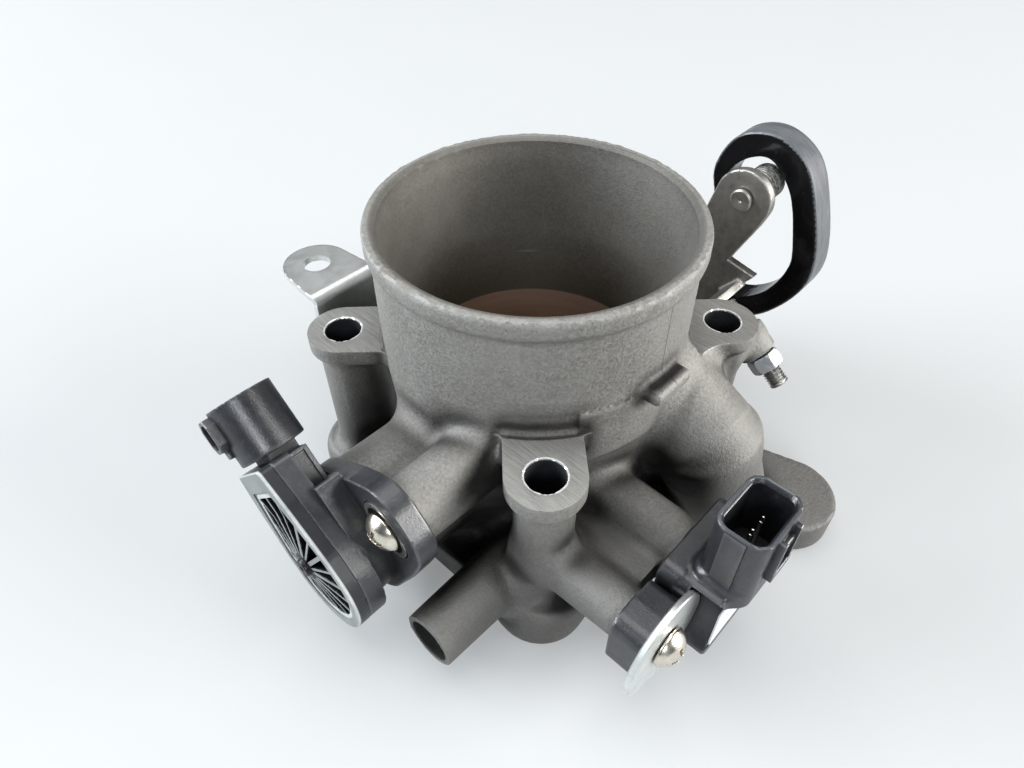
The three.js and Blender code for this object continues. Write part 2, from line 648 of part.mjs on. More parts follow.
function mapSensorHousing() {
  const ear = plateY(around([
    [MAP_SCREW_X, MAP_AXIS_Z, 7.2], [-27.5, MAP_AXIS_Z - 1, 6], [MAP_SCREW_X + 1, MAP_AXIS_Z - 6, 6],
  ]), MAP_FACE_Y, MAP_EAR_OUT);
  const flange = plateY(roundedBox(-11.6, MAP_AXIS_Z - 2, 12.7, 11, 3), MAP_FACE_Y, MAP_FLANGE_OUT);
  const body = plateY(roundedBox(-12.2, 21.6, 11.8, 10.6, 2.5), MAP_FLANGE_OUT + 0.5, MAP_BODY_OUT);
  const shroud = plateZ(roundedBox(-12, MAP_SOCKET_Y, 8.2, 5.8, 3.4), 30, MAP_RIM_Z);
  const rails = [-15.4, -9.6].map((x) => box(x, x + 1.2, -75, -72.6, 37, 49));
  const latch = box(-14.6, -9.4, -74.2, -72.6, 44, 46.5);
  const nozzle = rod(
    at(MAP_PORT_X, MAP_FACE_Y - 1, MAP_PORT_Z), at(MAP_PORT_X, -45, MAP_PORT_Z), 3.4, 3.4, 24,
  );
  const gasHole = rod(
    at(MAP_PORT_X, -60, MAP_PORT_Z), at(MAP_PORT_X, -44, MAP_PORT_Z), 1.4, 1.4, 12,
  );
  const socket = plateZ(roundedBox(-12, MAP_SOCKET_Y, 6.9, 4.5, 2.4), 34, MAP_RIM_Z + 1);
  const screwHole = rod(
    at(MAP_SCREW_X, -70, MAP_AXIS_Z), at(MAP_SCREW_X, -50, MAP_AXIS_Z),
    M5_RADIUS + GAP, M5_RADIUS + GAP, 16,
  );
  const washerRoom = rod(
    at(MAP_SCREW_X, MAP_EAR_OUT, MAP_AXIS_Z), at(MAP_SCREW_X, -80, MAP_AXIS_Z),
    WASHER_RADIUS + 0.4, WASHER_RADIUS + 0.4, 32,
  );
  const labelRecess = box(-22.6, -1.6, MAP_BODY_OUT - 1, MAP_BODY_OUT + 0.3, 14, 28);
  return cut(
    join(ear, flange, body, shroud, ...rails, latch, nozzle),
    socket, gasHole, screwHole, washerRoom, labelRecess,
    ...MAP_TERMINALS.map((x) => mapTerminal(x, 0.25)),
  );
}

node('map_sensor_housing', mapSensorHousing(), ...BLACK);
node('map_sensor_label', box(
  -22.2, -2, MAP_BODY_OUT - 0.4, MAP_BODY_OUT - 0.05, 14.4, 27.6,
), ...LABEL);
MAP_TERMINALS.forEach((x, index) => node(`map_terminal_${index + 1}`, mapTerminal(x, 0), ...TIN));

node('map_port_seal', rod(
  at(MAP_PORT_X, -50.5, MAP_PORT_Z), at(MAP_PORT_X, -47.5, MAP_PORT_Z), 4.7, 4.7, 20,
).subtract(rod(
  at(MAP_PORT_X, -51, MAP_PORT_Z), at(MAP_PORT_X, -47, MAP_PORT_Z), 3.7, 3.7, 20,
)), ...RUBBER);

const WASHER_FACE = MAP_EAR_OUT - GAP;
const WASHER_THICKNESS = 1.4;

node('map_washer', rod(
  at(MAP_SCREW_X, WASHER_FACE, MAP_AXIS_Z),
  at(MAP_SCREW_X, WASHER_FACE - WASHER_THICKNESS, MAP_AXIS_Z),
  WASHER_RADIUS, WASHER_RADIUS, 32,
).subtract(rod(at(MAP_SCREW_X, -60, MAP_AXIS_Z), at(MAP_SCREW_X, -70, MAP_AXIS_Z), 2.8, 2.8, 16)), ...ZINC);

const MAP_HEAD_Y = WASHER_FACE - WASHER_THICKNESS - GAP;

const CROSS_LONG = 2.6;
const CROSS_NARROW = 0.45;

function crossSlot(halfX, halfZ) {
  return box(
    MAP_SCREW_X - halfX, MAP_SCREW_X + halfX, MAP_HEAD_Y - 5, MAP_HEAD_Y - 1.8,
    MAP_AXIS_Z - halfZ, MAP_AXIS_Z + halfZ,
  );
}

node('map_screw', cut(
  join(
    rod(
      at(MAP_SCREW_X, -44, MAP_AXIS_Z), at(MAP_SCREW_X, MAP_HEAD_Y - 0.5, MAP_AXIS_Z),
      M5_RADIUS, M5_RADIUS, 12,
    ),
    rod(
      at(MAP_SCREW_X, MAP_HEAD_Y, MAP_AXIS_Z), at(MAP_SCREW_X, MAP_HEAD_Y - 3.6, MAP_AXIS_Z),
      4.6, 3.4, 20,
    ),
  ),
  crossSlot(CROSS_LONG, CROSS_NARROW),
  crossSlot(CROSS_NARROW, CROSS_LONG),
), ...NICKEL);

// ---- lever, roller, cable ring and return spring -----------------------

const STUD_RADIUS = 3;
const PIN_RADIUS = 2.4;

function leverSheet() {
  const arm = around([[PIN.x, PIN.y, 7.5], [-13.5, 43, 7]], 32);
  const hub = around([[0, SHAFT_Z, 12], [-12, 41, 8]], 32);
  const shoulder = new THREE.Shape([
    new THREE.Vector2(-28.4, 47.6), new THREE.Vector2(-20.4, 37.2),
    new THREE.Vector2(-4, 22), new THREE.Vector2(-8, 52),
  ]);
  const x1 = LEVER_X + LEVER_THICKNESS;
  return join(plateX(arm, LEVER_X, x1), plateX(hub, LEVER_X, x1), plateX(shoulder, LEVER_X, x1));
}

// The bent tab that rests on the idle stop screw.
function stopTab() {
  const centre = alongStop(STOP_LENGTH + GAP + 1.1);
  const inner = STOP_X - 3.2;
  const outer = LEVER_X + 1;
  const geometry = new THREE.BoxGeometry(outer - inner, 2.2, 11);
  geometry.rotateX(Math.atan2(STOP_DIRECTION.z, STOP_DIRECTION.y));
  geometry.translate((outer + inner) / 2, centre.y + 1.7, centre.z - 2.2);
  return solid(geometry);
}

node('throttle_lever', cut(
  join(leverSheet(), stopTab()),
  rod(at(50, 0, SHAFT_Z), at(60, 0, SHAFT_Z), SHAFT_RADIUS + GAP),
  rod(at(50, PIN.x, PIN.y), at(60, PIN.x, PIN.y), PIN_RADIUS + GAP, PIN_RADIUS + GAP, 20),
), ...STEEL);

node('roller_pin', join(
  rod(at(LEVER_X - 0.9, PIN.x, PIN.y), at(69.5, PIN.x, PIN.y), PIN_RADIUS, PIN_RADIUS, 20),
  rod(at(LEVER_X - 1.3, PIN.x, PIN.y), at(LEVER_X - GAP, PIN.x, PIN.y), 2.9, 3.1, 24),
  rod(at(69, PIN.x, PIN.y), at(70, PIN.x, PIN.y), 3.1, 3.1, 24),
), ...STEEL);

node('roller', sleeve(58.2, 68.6, 4.6, PIN_RADIUS + 0.2, PIN.x, PIN.y, 20), ...STEEL);

function closedSpline(points, count) {
  const curve = new THREE.CatmullRomCurve3(points.map(([y, z]) => at(0, y, z)), true, 'centripetal');
  return curve.getPoints(count).slice(0, count).map((p) => new THREE.Vector2(p.y, p.z));
}

const RING_OUTER = [
  [-8.3, 56], [-6.3, 68], [-11, 78], [-20, 81.3], [-29.5, 77.2], [-35.6, 66.5], [-39.6, 48],
  [-32, 33], [-18, 22.5], [-4, 14.5], [9, 17], [11, 29], [1, 42],
];
const RING_INNER = [
  [-14, 57], [-10.2, 66], [-13.4, 72], [-20.2, 75.1], [-27.2, 69.5], [-31.9, 57.6], [-33.3, 48.7],
  [-28, 37.3], [-18, 32], [-9, 38.5],
];

node('cable_ring', cut(
  plateX(new THREE.Shape(closedSpline(RING_OUTER, 44)), RING_X, RING_X + RING_WIDTH),
  plateX(new THREE.Shape(closedSpline(RING_INNER, 34)), RING_X - 1, RING_X + RING_WIDTH + 1),
  rod(at(RING_X - 1, 0, SHAFT_Z), at(RING_X + RING_WIDTH - 2, 0, SHAFT_Z), SHAFT_RADIUS + GAP),
  rod(at(RING_X - 1, 0, SHAFT_Z), at(RING_X + RING_WIDTH + 1, 0, SHAFT_Z), STUD_RADIUS + GAP),
), ...BLACK);

node('lever_spacer', sleeve(LEVER_X + LEVER_THICKNESS + GAP, RING_X - GAP, 8, SHAFT_RADIUS + GAP), ...STEEL);

const NUT_FACE = RING_X + RING_WIDTH + GAP;
node('shaft_washer', sleeve(NUT_FACE, NUT_FACE + 1.2, 7, STUD_RADIUS + GAP), ...ZINC);
node('shaft_nut', rod(at(NUT_FACE + 1.5, 0, SHAFT_Z), at(NUT_FACE + 5.5, 0, SHAFT_Z), 5.8, 5.8, 6)
  .subtract(rod(at(NUT_FACE, 0, SHAFT_Z), at(NUT_FACE + 7, 0, SHAFT_Z), STUD_RADIUS + GAP)), ...ZINC);

node('spring_guide', join(
  sleeve(LEVER_BOSS_X + GAP, 53.8, 7.4, SHAFT_RADIUS + GAP),
  sleeve(53, 54.4, 12, SHAFT_RADIUS + GAP),
), ...BLACK);

// The return spring as one thick helix with closed ends.
class Helix extends THREE.Curve {
  constructor(x0, x1, radius, turns) {
    super();
    Object.assign(this, { x0, x1, radius, turns });
  }

  getPoint(t, target = new THREE.Vector3()) {
    const angle = 2 * Math.PI * this.turns * t;
    return target.set(
      this.x0 + (this.x1 - this.x0) * t,
      this.radius * Math.cos(angle),
      SHAFT_Z + this.radius * Math.sin(angle),
    );
  }
}

function wire(curve, radius, steps, sides = 6) {
  const section = new THREE.Shape();
  section.absarc(0, 0, radius, 0, 2 * Math.PI);
  return solid(new THREE.ExtrudeGeometry(section, {
    steps, extrudePath: curve, bevelEnabled: false, curveSegments: sides / 2,
  }));
}

node('return_spring', wire(new Helix(43, 51.6, 9.4, 3.5), 0.9, 42), ...STEEL);

// ---- idle stop screw and rear bracket ----------------------------------

node('idle_stop_screw', cut(
  join(
    rod(alongStop(0.5), alongStop(STOP_LENGTH), M5_RADIUS, M5_RADIUS, 12),
    rod(alongStop(0), alongStop(0.6), M5_RADIUS - 0.5, M5_RADIUS, 16),
  ),
  rod(alongStop(-1), alongStop(2.2), 1.3, 1.3, 6),
), ...NICKEL);

node('idle_stop_nut', rod(alongStop(5.2), alongStop(9.2), 4.6, 4.6, 6)
  .subtract(rod(alongStop(4), alongStop(10), M5_RADIUS + GAP, M5_RADIUS + GAP, 12)), ...ZINC);

function bracketSheet() {
  const tab = around([[-23.2, 55, 8.6], [-31.4, 44, 1.2], [-14.8, 44, 1.2]], 28);
  const wall = plateY(around([
    [-30.6, BRACKET_TOP - 3, 2], [-15.6, BRACKET_TOP - 3, 2], [-26, 20, 6], [-18, 20, 6],
  ]), BRACKET_Y + SHEET, BRACKET_Y);
  return join(
    plateZ(tab, BRACKET_TOP - SHEET, BRACKET_TOP).subtract(
      rod(at(-23.2, 55, 40), at(-23.2, 55, 60), 3.5, 3.5, 20),
    ),
    wall.intersect(box(-40, 0, 40, 50, 10, BRACKET_TOP - 0.2)),
  );
}

node('rear_bracket', cut(
  bracketSheet(),
  ...BRACKET_BOLT_X.map((x) => rod(
    at(x, 50, BRACKET_BOLT_Z), at(x, 40, BRACKET_BOLT_Z), M4_RADIUS + GAP, M4_RADIUS + GAP, 12,
  )),
), ...ZINC);

BRACKET_BOLT_X.forEach((x, index) => {
  const seat = BRACKET_Y + SHEET + GAP;
  node(`bracket_screw_${index + 1}`, join(
    rod(at(x, 34, BRACKET_BOLT_Z), at(x, seat + 0.5, BRACKET_BOLT_Z), M4_RADIUS, M4_RADIUS, 12),
    rod(at(x, seat, BRACKET_BOLT_Z), at(x, seat + 2.6, BRACKET_BOLT_Z), 3.5, 2.9, 16),
  ), ...NICKEL);
});

export default assembly;
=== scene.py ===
"""Cable-operated throttle body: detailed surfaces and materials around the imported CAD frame.

Shapes are signed-distance fields in millimetres around the bore axis, meshed by dual contouring, so
machined edges stay crisp and cast corners keep their fillets.
"""
import json
import math

import bpy
import numpy as np
from mathutils import Matrix, Vector


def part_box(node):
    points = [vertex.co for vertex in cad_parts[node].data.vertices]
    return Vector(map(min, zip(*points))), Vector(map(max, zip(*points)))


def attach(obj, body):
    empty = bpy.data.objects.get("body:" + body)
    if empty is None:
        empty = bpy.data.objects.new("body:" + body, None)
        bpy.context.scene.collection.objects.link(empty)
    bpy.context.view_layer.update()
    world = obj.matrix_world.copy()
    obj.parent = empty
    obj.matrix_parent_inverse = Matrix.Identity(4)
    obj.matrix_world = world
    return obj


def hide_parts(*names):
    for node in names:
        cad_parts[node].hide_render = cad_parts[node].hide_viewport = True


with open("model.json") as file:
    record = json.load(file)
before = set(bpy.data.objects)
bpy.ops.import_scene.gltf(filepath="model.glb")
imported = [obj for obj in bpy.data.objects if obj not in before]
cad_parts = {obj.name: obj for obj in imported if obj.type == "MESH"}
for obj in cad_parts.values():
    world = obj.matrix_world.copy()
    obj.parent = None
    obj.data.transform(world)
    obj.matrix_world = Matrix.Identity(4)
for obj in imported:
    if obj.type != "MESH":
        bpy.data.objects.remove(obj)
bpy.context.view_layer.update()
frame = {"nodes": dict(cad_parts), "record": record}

plate_lo, plate_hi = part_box("throttle_plate")
BORE = np.array([(plate_lo.x + plate_hi.x) / 2, (plate_lo.y + plate_hi.y) / 2, 0.0])
MM = 0.001

# ---- the main sizes of the CAD, in millimetres ---------------------------

HALF_PITCH = 32.5                      # bolt holes from the bore axis, along x and along y
BOLT_HOLE = 4.3                        # radii, here and below
LUG_TOP = 49.0
COLLAR = 35.9
COLLAR_TOP = 80.0
THROAT = 31.0
SHAFT_Z = 26.15
SHAFT, SHAFT_END = 5.0, 3.0
SHAFT_HOLE = 5.3
TPS_SCREW = 19.2                       # sensor screws from the shaft axis
DIAGONAL = TPS_SCREW / math.sqrt(2)
MAP_FACE = -56.0
MAP_Z = 23.4
MAP_SCREW_X = -32.5
MAP_PORT_X = -12.0
MAP_PORT_Z = MAP_Z + 0.4
SOCKET_Y = -67.6
SCREW_HOLE = 2.8
PIN_Y, PIN_Z = -20.1, 67.5
TUBE_Y, TUBE_Z = -26.0, 13.2           # axis of the short blind tube
BRACKET_SCREWS_X, BRACKET_SCREWS_Z = (-26, -18), 25.0
STOP_TIP = np.array([45.0, -47.0, 28.1])
STOP_DIR = np.array([0.0, 0.78, 0.626]) / math.hypot(0.78, 0.626)
CORNERS = [(-1, 1), (-1, -1), (1, -1), (1, 1)]

FAR = 1e3

# ---- signed-distance shapes ----------------------------------------------


def near(lo, hi, field, pad=7.0):
    """The same field, worked out only close to its box, and far away elsewhere."""
    lo, hi = np.array(lo, float)[:, None] - pad, np.array(hi, float)[:, None] + pad

    def inner(p):
        out = np.full(p.shape[1], FAR)
        keep = ((p > lo) & (p < hi)).all(0)
        if keep.any():
            out[keep] = field(p[:, keep])
        return out

    return inner


def corner(a, b, e):
    """Distance from two crossing limits, with their corner rounded by e."""
    a, b = a + e, b + e
    return np.minimum(np.maximum(a, b), 0) + np.hypot(np.maximum(a, 0), np.maximum(b, 0)) - e


def rod(a, b, r, end=None, e=0.0):
    """A round bar from a to b, of radius r at a and end at b, with its edges rounded by e."""
    a, b = np.array(a, float), np.array(b, float)
    length = np.linalg.norm(b - a)
    d = (b - a) / length
    end = r if end is None else end
    slope = math.cos(math.atan2(abs(end - r), length))

    def field(p):
        q = p - a[:, None]
        t = d @ q
        radius = np.sqrt(np.maximum((q * q).sum(0) - t * t, 0))
        wanted = r + (end - r) * np.clip(t / length, 0, 1)
        return corner((radius - wanted) * slope, np.abs(t - length / 2) - length / 2, e)

    big = max(r, end)
    return near(np.minimum(a, b) - big, np.maximum(a, b) + big, field)


def bar(axis, lo, hi, u, v, r, end=None, e=0.0):
    """A rod along one axis from lo to hi, at u and v in the two other axes."""
    across = np.array([u, v], float)
    return rod(np.insert(across, axis, lo), np.insert(across, axis, hi), r, end, e)


def on_shaft(x0, x1, r, end=None, e=0.0):
    return bar(0, x0, x1, 0, SHAFT_Z, r, end, e)


def ball(c, r):
    c = np.array(c, float)
    return lambda p: np.sqrt(((p - c[:, None]) ** 2).sum(0)) - r


def box(x0, x1, y0, y1, z0, z1, e=0.0):
    lo, hi = np.array([x0, y0, z0], float), np.array([x1, y1, z1], float)
    c, h = (lo + hi) / 2, (hi - lo) / 2

    def field(p):
        q = np.abs(p - c[:, None]) - h[:, None] + e
        return np.minimum(q.max(0), 0) + np.sqrt((np.maximum(q, 0) ** 2).sum(0)) - e

    return near(lo, hi, field)


def disc(u0, v0, r):
    return lambda u, v: np.hypot(u - u0, v - v0) - r


def hull(circles):
    """A convex outline around circles given as (u, v, radius), as tangents in 72 directions."""
    turn = np.linspace(0, 2 * math.pi, 72, endpoint=False)
    reach = [max(u * math.cos(t) + v * math.sin(t) + r for u, v, r in circles) for t in turn]

    def shape(u, v):
        out = np.full(u.shape, -FAR)
        for t, s in zip(turn, reach):
            np.maximum(out, u * math.cos(t) + v * math.sin(t) - s, out=out)
        return out

    return shape


def rounded(cu, cv, hu, hv, r):
    """A rectangle around (cu, cv), hu and hv to its sides, with corners of radius r."""
    return lambda u, v: corner(np.abs(u - cu) - hu, np.abs(v - cv) - hv, r)


def polygon(points):
    """Signed distance from a closed outline of straight sides."""
    pts = np.array(points, float)

    def shape(u, v):
        best = np.full(u.shape, FAR * FAR)
        inside = np.zeros(u.shape, bool)
        for (au, av), (bu, bv) in zip(pts, np.roll(pts, -1, 0)):
            eu, ev = bu - au, bv - av
            wu, wv = u - au, v - av
            t = np.clip((wu * eu + wv * ev) / (eu * eu + ev * ev), 0, 1)
            np.minimum(best, (wu - eu * t) ** 2 + (wv - ev * t) ** 2, out=best)
            if ev:
                inside ^= ((av <= v) != (bv <= v)) & (u < au + eu * (v - av) / ev)
        return np.where(inside, -1, 1) * np.sqrt(best)

    return shape


def prism(axis, lo, hi, shape, e=0.0):
    """An outline in the two other axes, drawn out along one axis, with its edges rounded by e."""
    iu, iv = [(1, 2), (0, 2), (0, 1)][axis]
    mid, half = (lo + hi) / 2, abs(hi - lo) / 2
    return lambda p: corner(shape(p[iu], p[iv]), np.abs(p[axis] - mid) - half, e)


def revolve(profile):
    """A (radius, height) outline turned about the bore axis."""
    shape = polygon(profile)
    return lambda p: shape(np.hypot(p[0], p[1]), p[2])


def fuse(*parts):
    """Joins (field, fillet radius) pairs in order; a bare field is joined with a sharp corner."""

    def field(p):
        out = None
        for part in parts:
            g, r = part if isinstance(part, tuple) else (part, 0.0)
            d = g(p)
            if out is None:
                out = d
            elif r:
                u, v = np.maximum(r - out, 0), np.maximum(r - d, 0)
                out = np.maximum(r, np.minimum(out, d)) - np.hypot(u, v)
            else:
                out = np.minimum(out, d)
        return out

    return field


def carve(whole, *tools, r=0.0):
    """Takes the tools away; r rounds the edges that they leave."""

    def field(p):
        out = whole(p)
        for tool in tools:
            d = -tool(p)
            if r:
                u, v = np.maximum(r + out, 0), np.maximum(r + d, 0)
                out = np.minimum(-r, np.maximum(out, d)) + np.hypot(u, v)
            else:
                out = np.maximum(out, d)
        return out

    return field


def common(a, b):
    return lambda p: np.maximum(a(p), b(p))


# ---- dual contouring -----------------------------------------------------

BLOCK = 5                  # cells to the side of a block that is looked at or skipped as one
BLOCK_REACH = 0.87 * 1.25  # half the diagonal of a block of side 1, and a quarter more
MARGIN = 1.6               # cells left free round the box
CENTRING = 0.05            # pull of a corner to the middle of its crossings


def outward(field, p, step):
    """The field's unit slope at each point."""
    slope = np.empty_like(p)
    for axis in range(3):
        shift = np.zeros((3, 1))
        shift[axis] = step
        slope[axis] = field(p + shift) - field(p - shift)
    slope /= np.maximum(np.sqrt((slope ** 2).sum(0)), 1e-12)
    return slope


def contour(field, lo, hi, h):
    """The surface of a field as corner positions and four-sided faces."""
    lo = np.array(lo, float) - MARGIN * h
    blocks = np.ceil((np.array(hi, float) + MARGIN * h - lo) / (h * BLOCK)).astype(int)
    size = blocks * BLOCK + 1
    middles = np.indices(blocks).reshape(3, -1) * BLOCK * h + lo[:, None] + BLOCK * h / 2
    level = field(middles).reshape(blocks)
    live = np.abs(level) < BLOCK * h * BLOCK_REACH + 0.3

    def spread(a):
        for axis in range(3):
            a = np.repeat(a, BLOCK, axis)
        return a

    value = np.full(size, FAR)
    value[:-1, :-1, :-1] = np.where(spread(level) < 0, -FAR, FAR)
    want = np.zeros(size, bool)
    want[:-1, :-1, :-1] = spread(live)
    for axis in range(3):
        moved = [slice(None)] * 3
        fixed = [slice(None)] * 3
        moved[axis], fixed[axis] = slice(1, None), slice(None, -1)
        grown = want.copy()
        grown[tuple(moved)] |= want[tuple(fixed)]
        want = grown
    nodes = np.nonzero(want)
    value[nodes] = field(np.array(nodes) * h + lo[:, None])

    sign = value < 0
    starts, ends, faces, edges = [], [], [], []
    cells = size - 1
    for axis in range(3):
        a = [slice(None)] * 3
        b = [slice(None)] * 3
        a[axis], b[axis] = slice(None, -1), slice(1, None)
        i = np.array(np.nonzero(sign[tuple(a)] != sign[tuple(b)]))
        u, v = (axis + 1) % 3, (axis + 2) % 3
        i = i[:, (i[u] > 0) & (i[v] > 0) & (i[u] < cells[u]) & (i[v] < cells[v])]
        j = i.copy()
        j[axis] += 1
        around = []
        for du, dv in ((-1, -1), (0, -1), (0, 0), (-1, 0)):
            c = i.copy()
            c[u] += du
            c[v] += dv
            around.append((c[0] * cells[1] + c[1]) * cells[2] + c[2])
        quad = np.array(around).T
        flip = value[tuple(i)] > 0
        quad[flip] = quad[flip, ::-1]
        starts.append(i)
        ends.append(j)
        faces.append(quad)
        edges.append(np.full(i.shape[1], axis))
    i, j = np.concatenate(starts, 1), np.concatenate(ends, 1)
    quads = np.concatenate(faces)
    a, b = i * h + lo[:, None], j * h + lo[:, None]
    fa, fb = value[tuple(i)], value[tuple(j)]
    for _ in range(4):
        t = np.clip(fa / (fa - fb), 0.05, 0.95)
        m = a + (b - a) * t
        fm = field(m)
        left = (fm < 0) == (fa < 0)
        a, b = np.where(left, m, a), np.where(left, b, m)
        fa, fb = np.where(left, fm, fa), np.where(left, fb, fm)
    point = a + (b - a) * (fa / np.where(fa == fb, 1, fa - fb))
    slope = outward(field, point, 0.02 * h)

    used, index = np.unique(quads, return_inverse=True)
    index = index.reshape(-1)
    owner = np.repeat(np.arange(point.shape[1]), 4)
    total = len(used)

    def gather(w):
        return np.bincount(index, w[owner], total)

    count = gather(np.ones(point.shape[1]))
    mass = np.array([gather(point[k]) for k in range(3)]) / count
    plane = (slope * point).sum(0)
    matrix = np.empty((total, 3, 3))
    for r in range(3):
        for c in range(r, 3):
            matrix[:, r, c] = matrix[:, c, r] = gather(slope[r] * slope[c])
    right = np.array([gather(slope[k] * plane) for k in range(3)]).T
    rest = right - np.einsum("nij,nj->ni", matrix, mass.T)
    matrix[:, range(3), range(3)] += (CENTRING * count)[:, None]
    corners = mass.T + np.linalg.solve(matrix, rest[:, :, None])[:, :, 0]
    cell = np.array(np.unravel_index(used, cells)).T * h + lo
    corners = np.clip(corners, cell, cell + h)
    return corners, index.reshape(-1, 4)


def curvature(field, corners, reach):
    """Above 0 on outside corners and below 0 in hollows, about -1 to 1."""
    p = corners.T
    total = np.zeros(p.shape[1])
    for axis in range(3):
        for way in (-reach, reach):
            shift = np.zeros((3, 1))
            shift[axis] = way
            total += field(p + shift)
    return np.clip((total / 6 - field(p)) / reach * 2.4, -1, 1)


def shelter(field, corners, reach):
    """How closed in each point is, from 0 in the open to 1 deep in a crevice."""
    p = corners.T
    out = outward(field, p, 1.2)
    total = np.zeros(p.shape[1])
    for part in (0.25, 0.5, 1.0):
        d = part * reach
        total += np.clip((d - field(p + out * d)) / d, 0, 1)
    return total / 3


# ---- building objects ----------------------------------------------------

TO_TPS = np.array([[1, 0, 0], [0, 1, -1], [0, 1, 1]], float)
TO_TPS[1:] /= math.sqrt(2)
PLAIN = np.eye(3)


def piece(name, corners, faces, finish, body, nodes=(), turn=PLAIN, origin=(0, 0, 0), sharp=32, paint=()):
    """A mesh in millimetres of the bore frame, turned and moved into place, that rides on a CAD body.

    paint holds (name, values) pairs of point attributes that the materials read."""
    mesh = bpy.data.meshes.new(name)
    where = (np.asarray(corners) @ turn.T + np.array(origin)) * MM + BORE
    mesh.vertices.add(len(where))
    mesh.vertices.foreach_set("co", where.astype(np.float32).ravel())
    counts = np.array([len(face) for face in faces])
    flat = np.concatenate(list(faces))
    mesh.loops.add(len(flat))
    mesh.loops.foreach_set("vertex_index", flat.astype(np.int32))
    mesh.polygons.add(len(counts))
    mesh.polygons.foreach_set("loop_start", (np.cumsum(counts) - counts).astype(np.int32))
    mesh.polygons.foreach_set("use_smooth", np.ones(len(counts), bool))
    for label, values in paint:
        mesh.attributes.new(label, "FLOAT", "POINT").data.foreach_set("value", values.astype(np.float32))
    mesh.update(calc_edges=True)
    mesh.validate()
    mesh.set_sharp_from_angle(angle=math.radians(sharp))
    mesh.materials.append(finish[0])
    obj = bpy.data.objects.new(name, mesh)
    bpy.context.scene.collection.objects.link(obj)
    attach(obj, body)
    if nodes:
        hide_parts(*nodes)
    return obj


def sculpt(name, field, lo, hi, h, finish, body, nodes=(), turn=PLAIN, origin=(0, 0, 0), sharp=32,
           reach=0.0, mask=None, depth=0.0):
    """The field's surface inside the box lo to hi, from cells of size h.

    reach is the scale of its rubbed edges and of the painted shade in its creases, depth that of the painted shade
    in its crevices (over dark patina on the casting), and mask gives its own pattern."""
    corners, faces = contour(field, lo, hi, h)
    paint = []
    if reach:
        paint.append(("edge_wear_and_crease_shade", curvature(field, corners, reach)))
    if mask:
        paint.append(("mask", mask(corners.T)))
    if depth:
        paint.append(("hollow", shelter(field, corners, depth)))
    return piece(name, corners, faces, finish, body, nodes, turn, origin, sharp, paint)


def along_axis(direction):
    """A turn whose third column is the given direction."""
    d = np.array(direction, float)
    d /= np.linalg.norm(d)
    side = np.cross([0, 0, 1.0] if abs(d[2]) < 0.9 else [1.0, 0, 0], d)
    side /= np.linalg.norm(side)
    return np.array([side, np.cross(d, side), d]).T


def lathe(name, profile, origin, direction, finish, body, nodes=()):
    """A closed (radius, height) profile turned around an axis."""
    steps = 96
    ring = len(profile)
    turn = np.linspace(0, 2 * math.pi, steps, endpoint=False)
    corners = [(r * math.cos(t), r * math.sin(t), z) for t in turn for r, z in profile]
    faces = []
    for s in range(steps):
        for k in range(ring):
            a, b = s * ring + k, s * ring + (k + 1) % ring
            c, d = ((s + 1) % steps) * ring + k, ((s + 1) % steps) * ring + (k + 1) % ring
            faces.append((a, c, d, b))
    return piece(name, corners, faces, finish, body, nodes, along_axis(direction), origin)


def bevelled(inner, outer, z0, z1, e):
    """The profile of a ring with its four edges cut back by e, seen going round anticlockwise."""
    return [
        (inner, z0 + e), (inner + e, z0), (outer - e, z0), (outer, z0 + e),
        (outer, z1 - e), (outer - e, z1), (inner + e, z1), (inner, z1 - e),
    ]


# ---- materials -----------------------------------------------------------


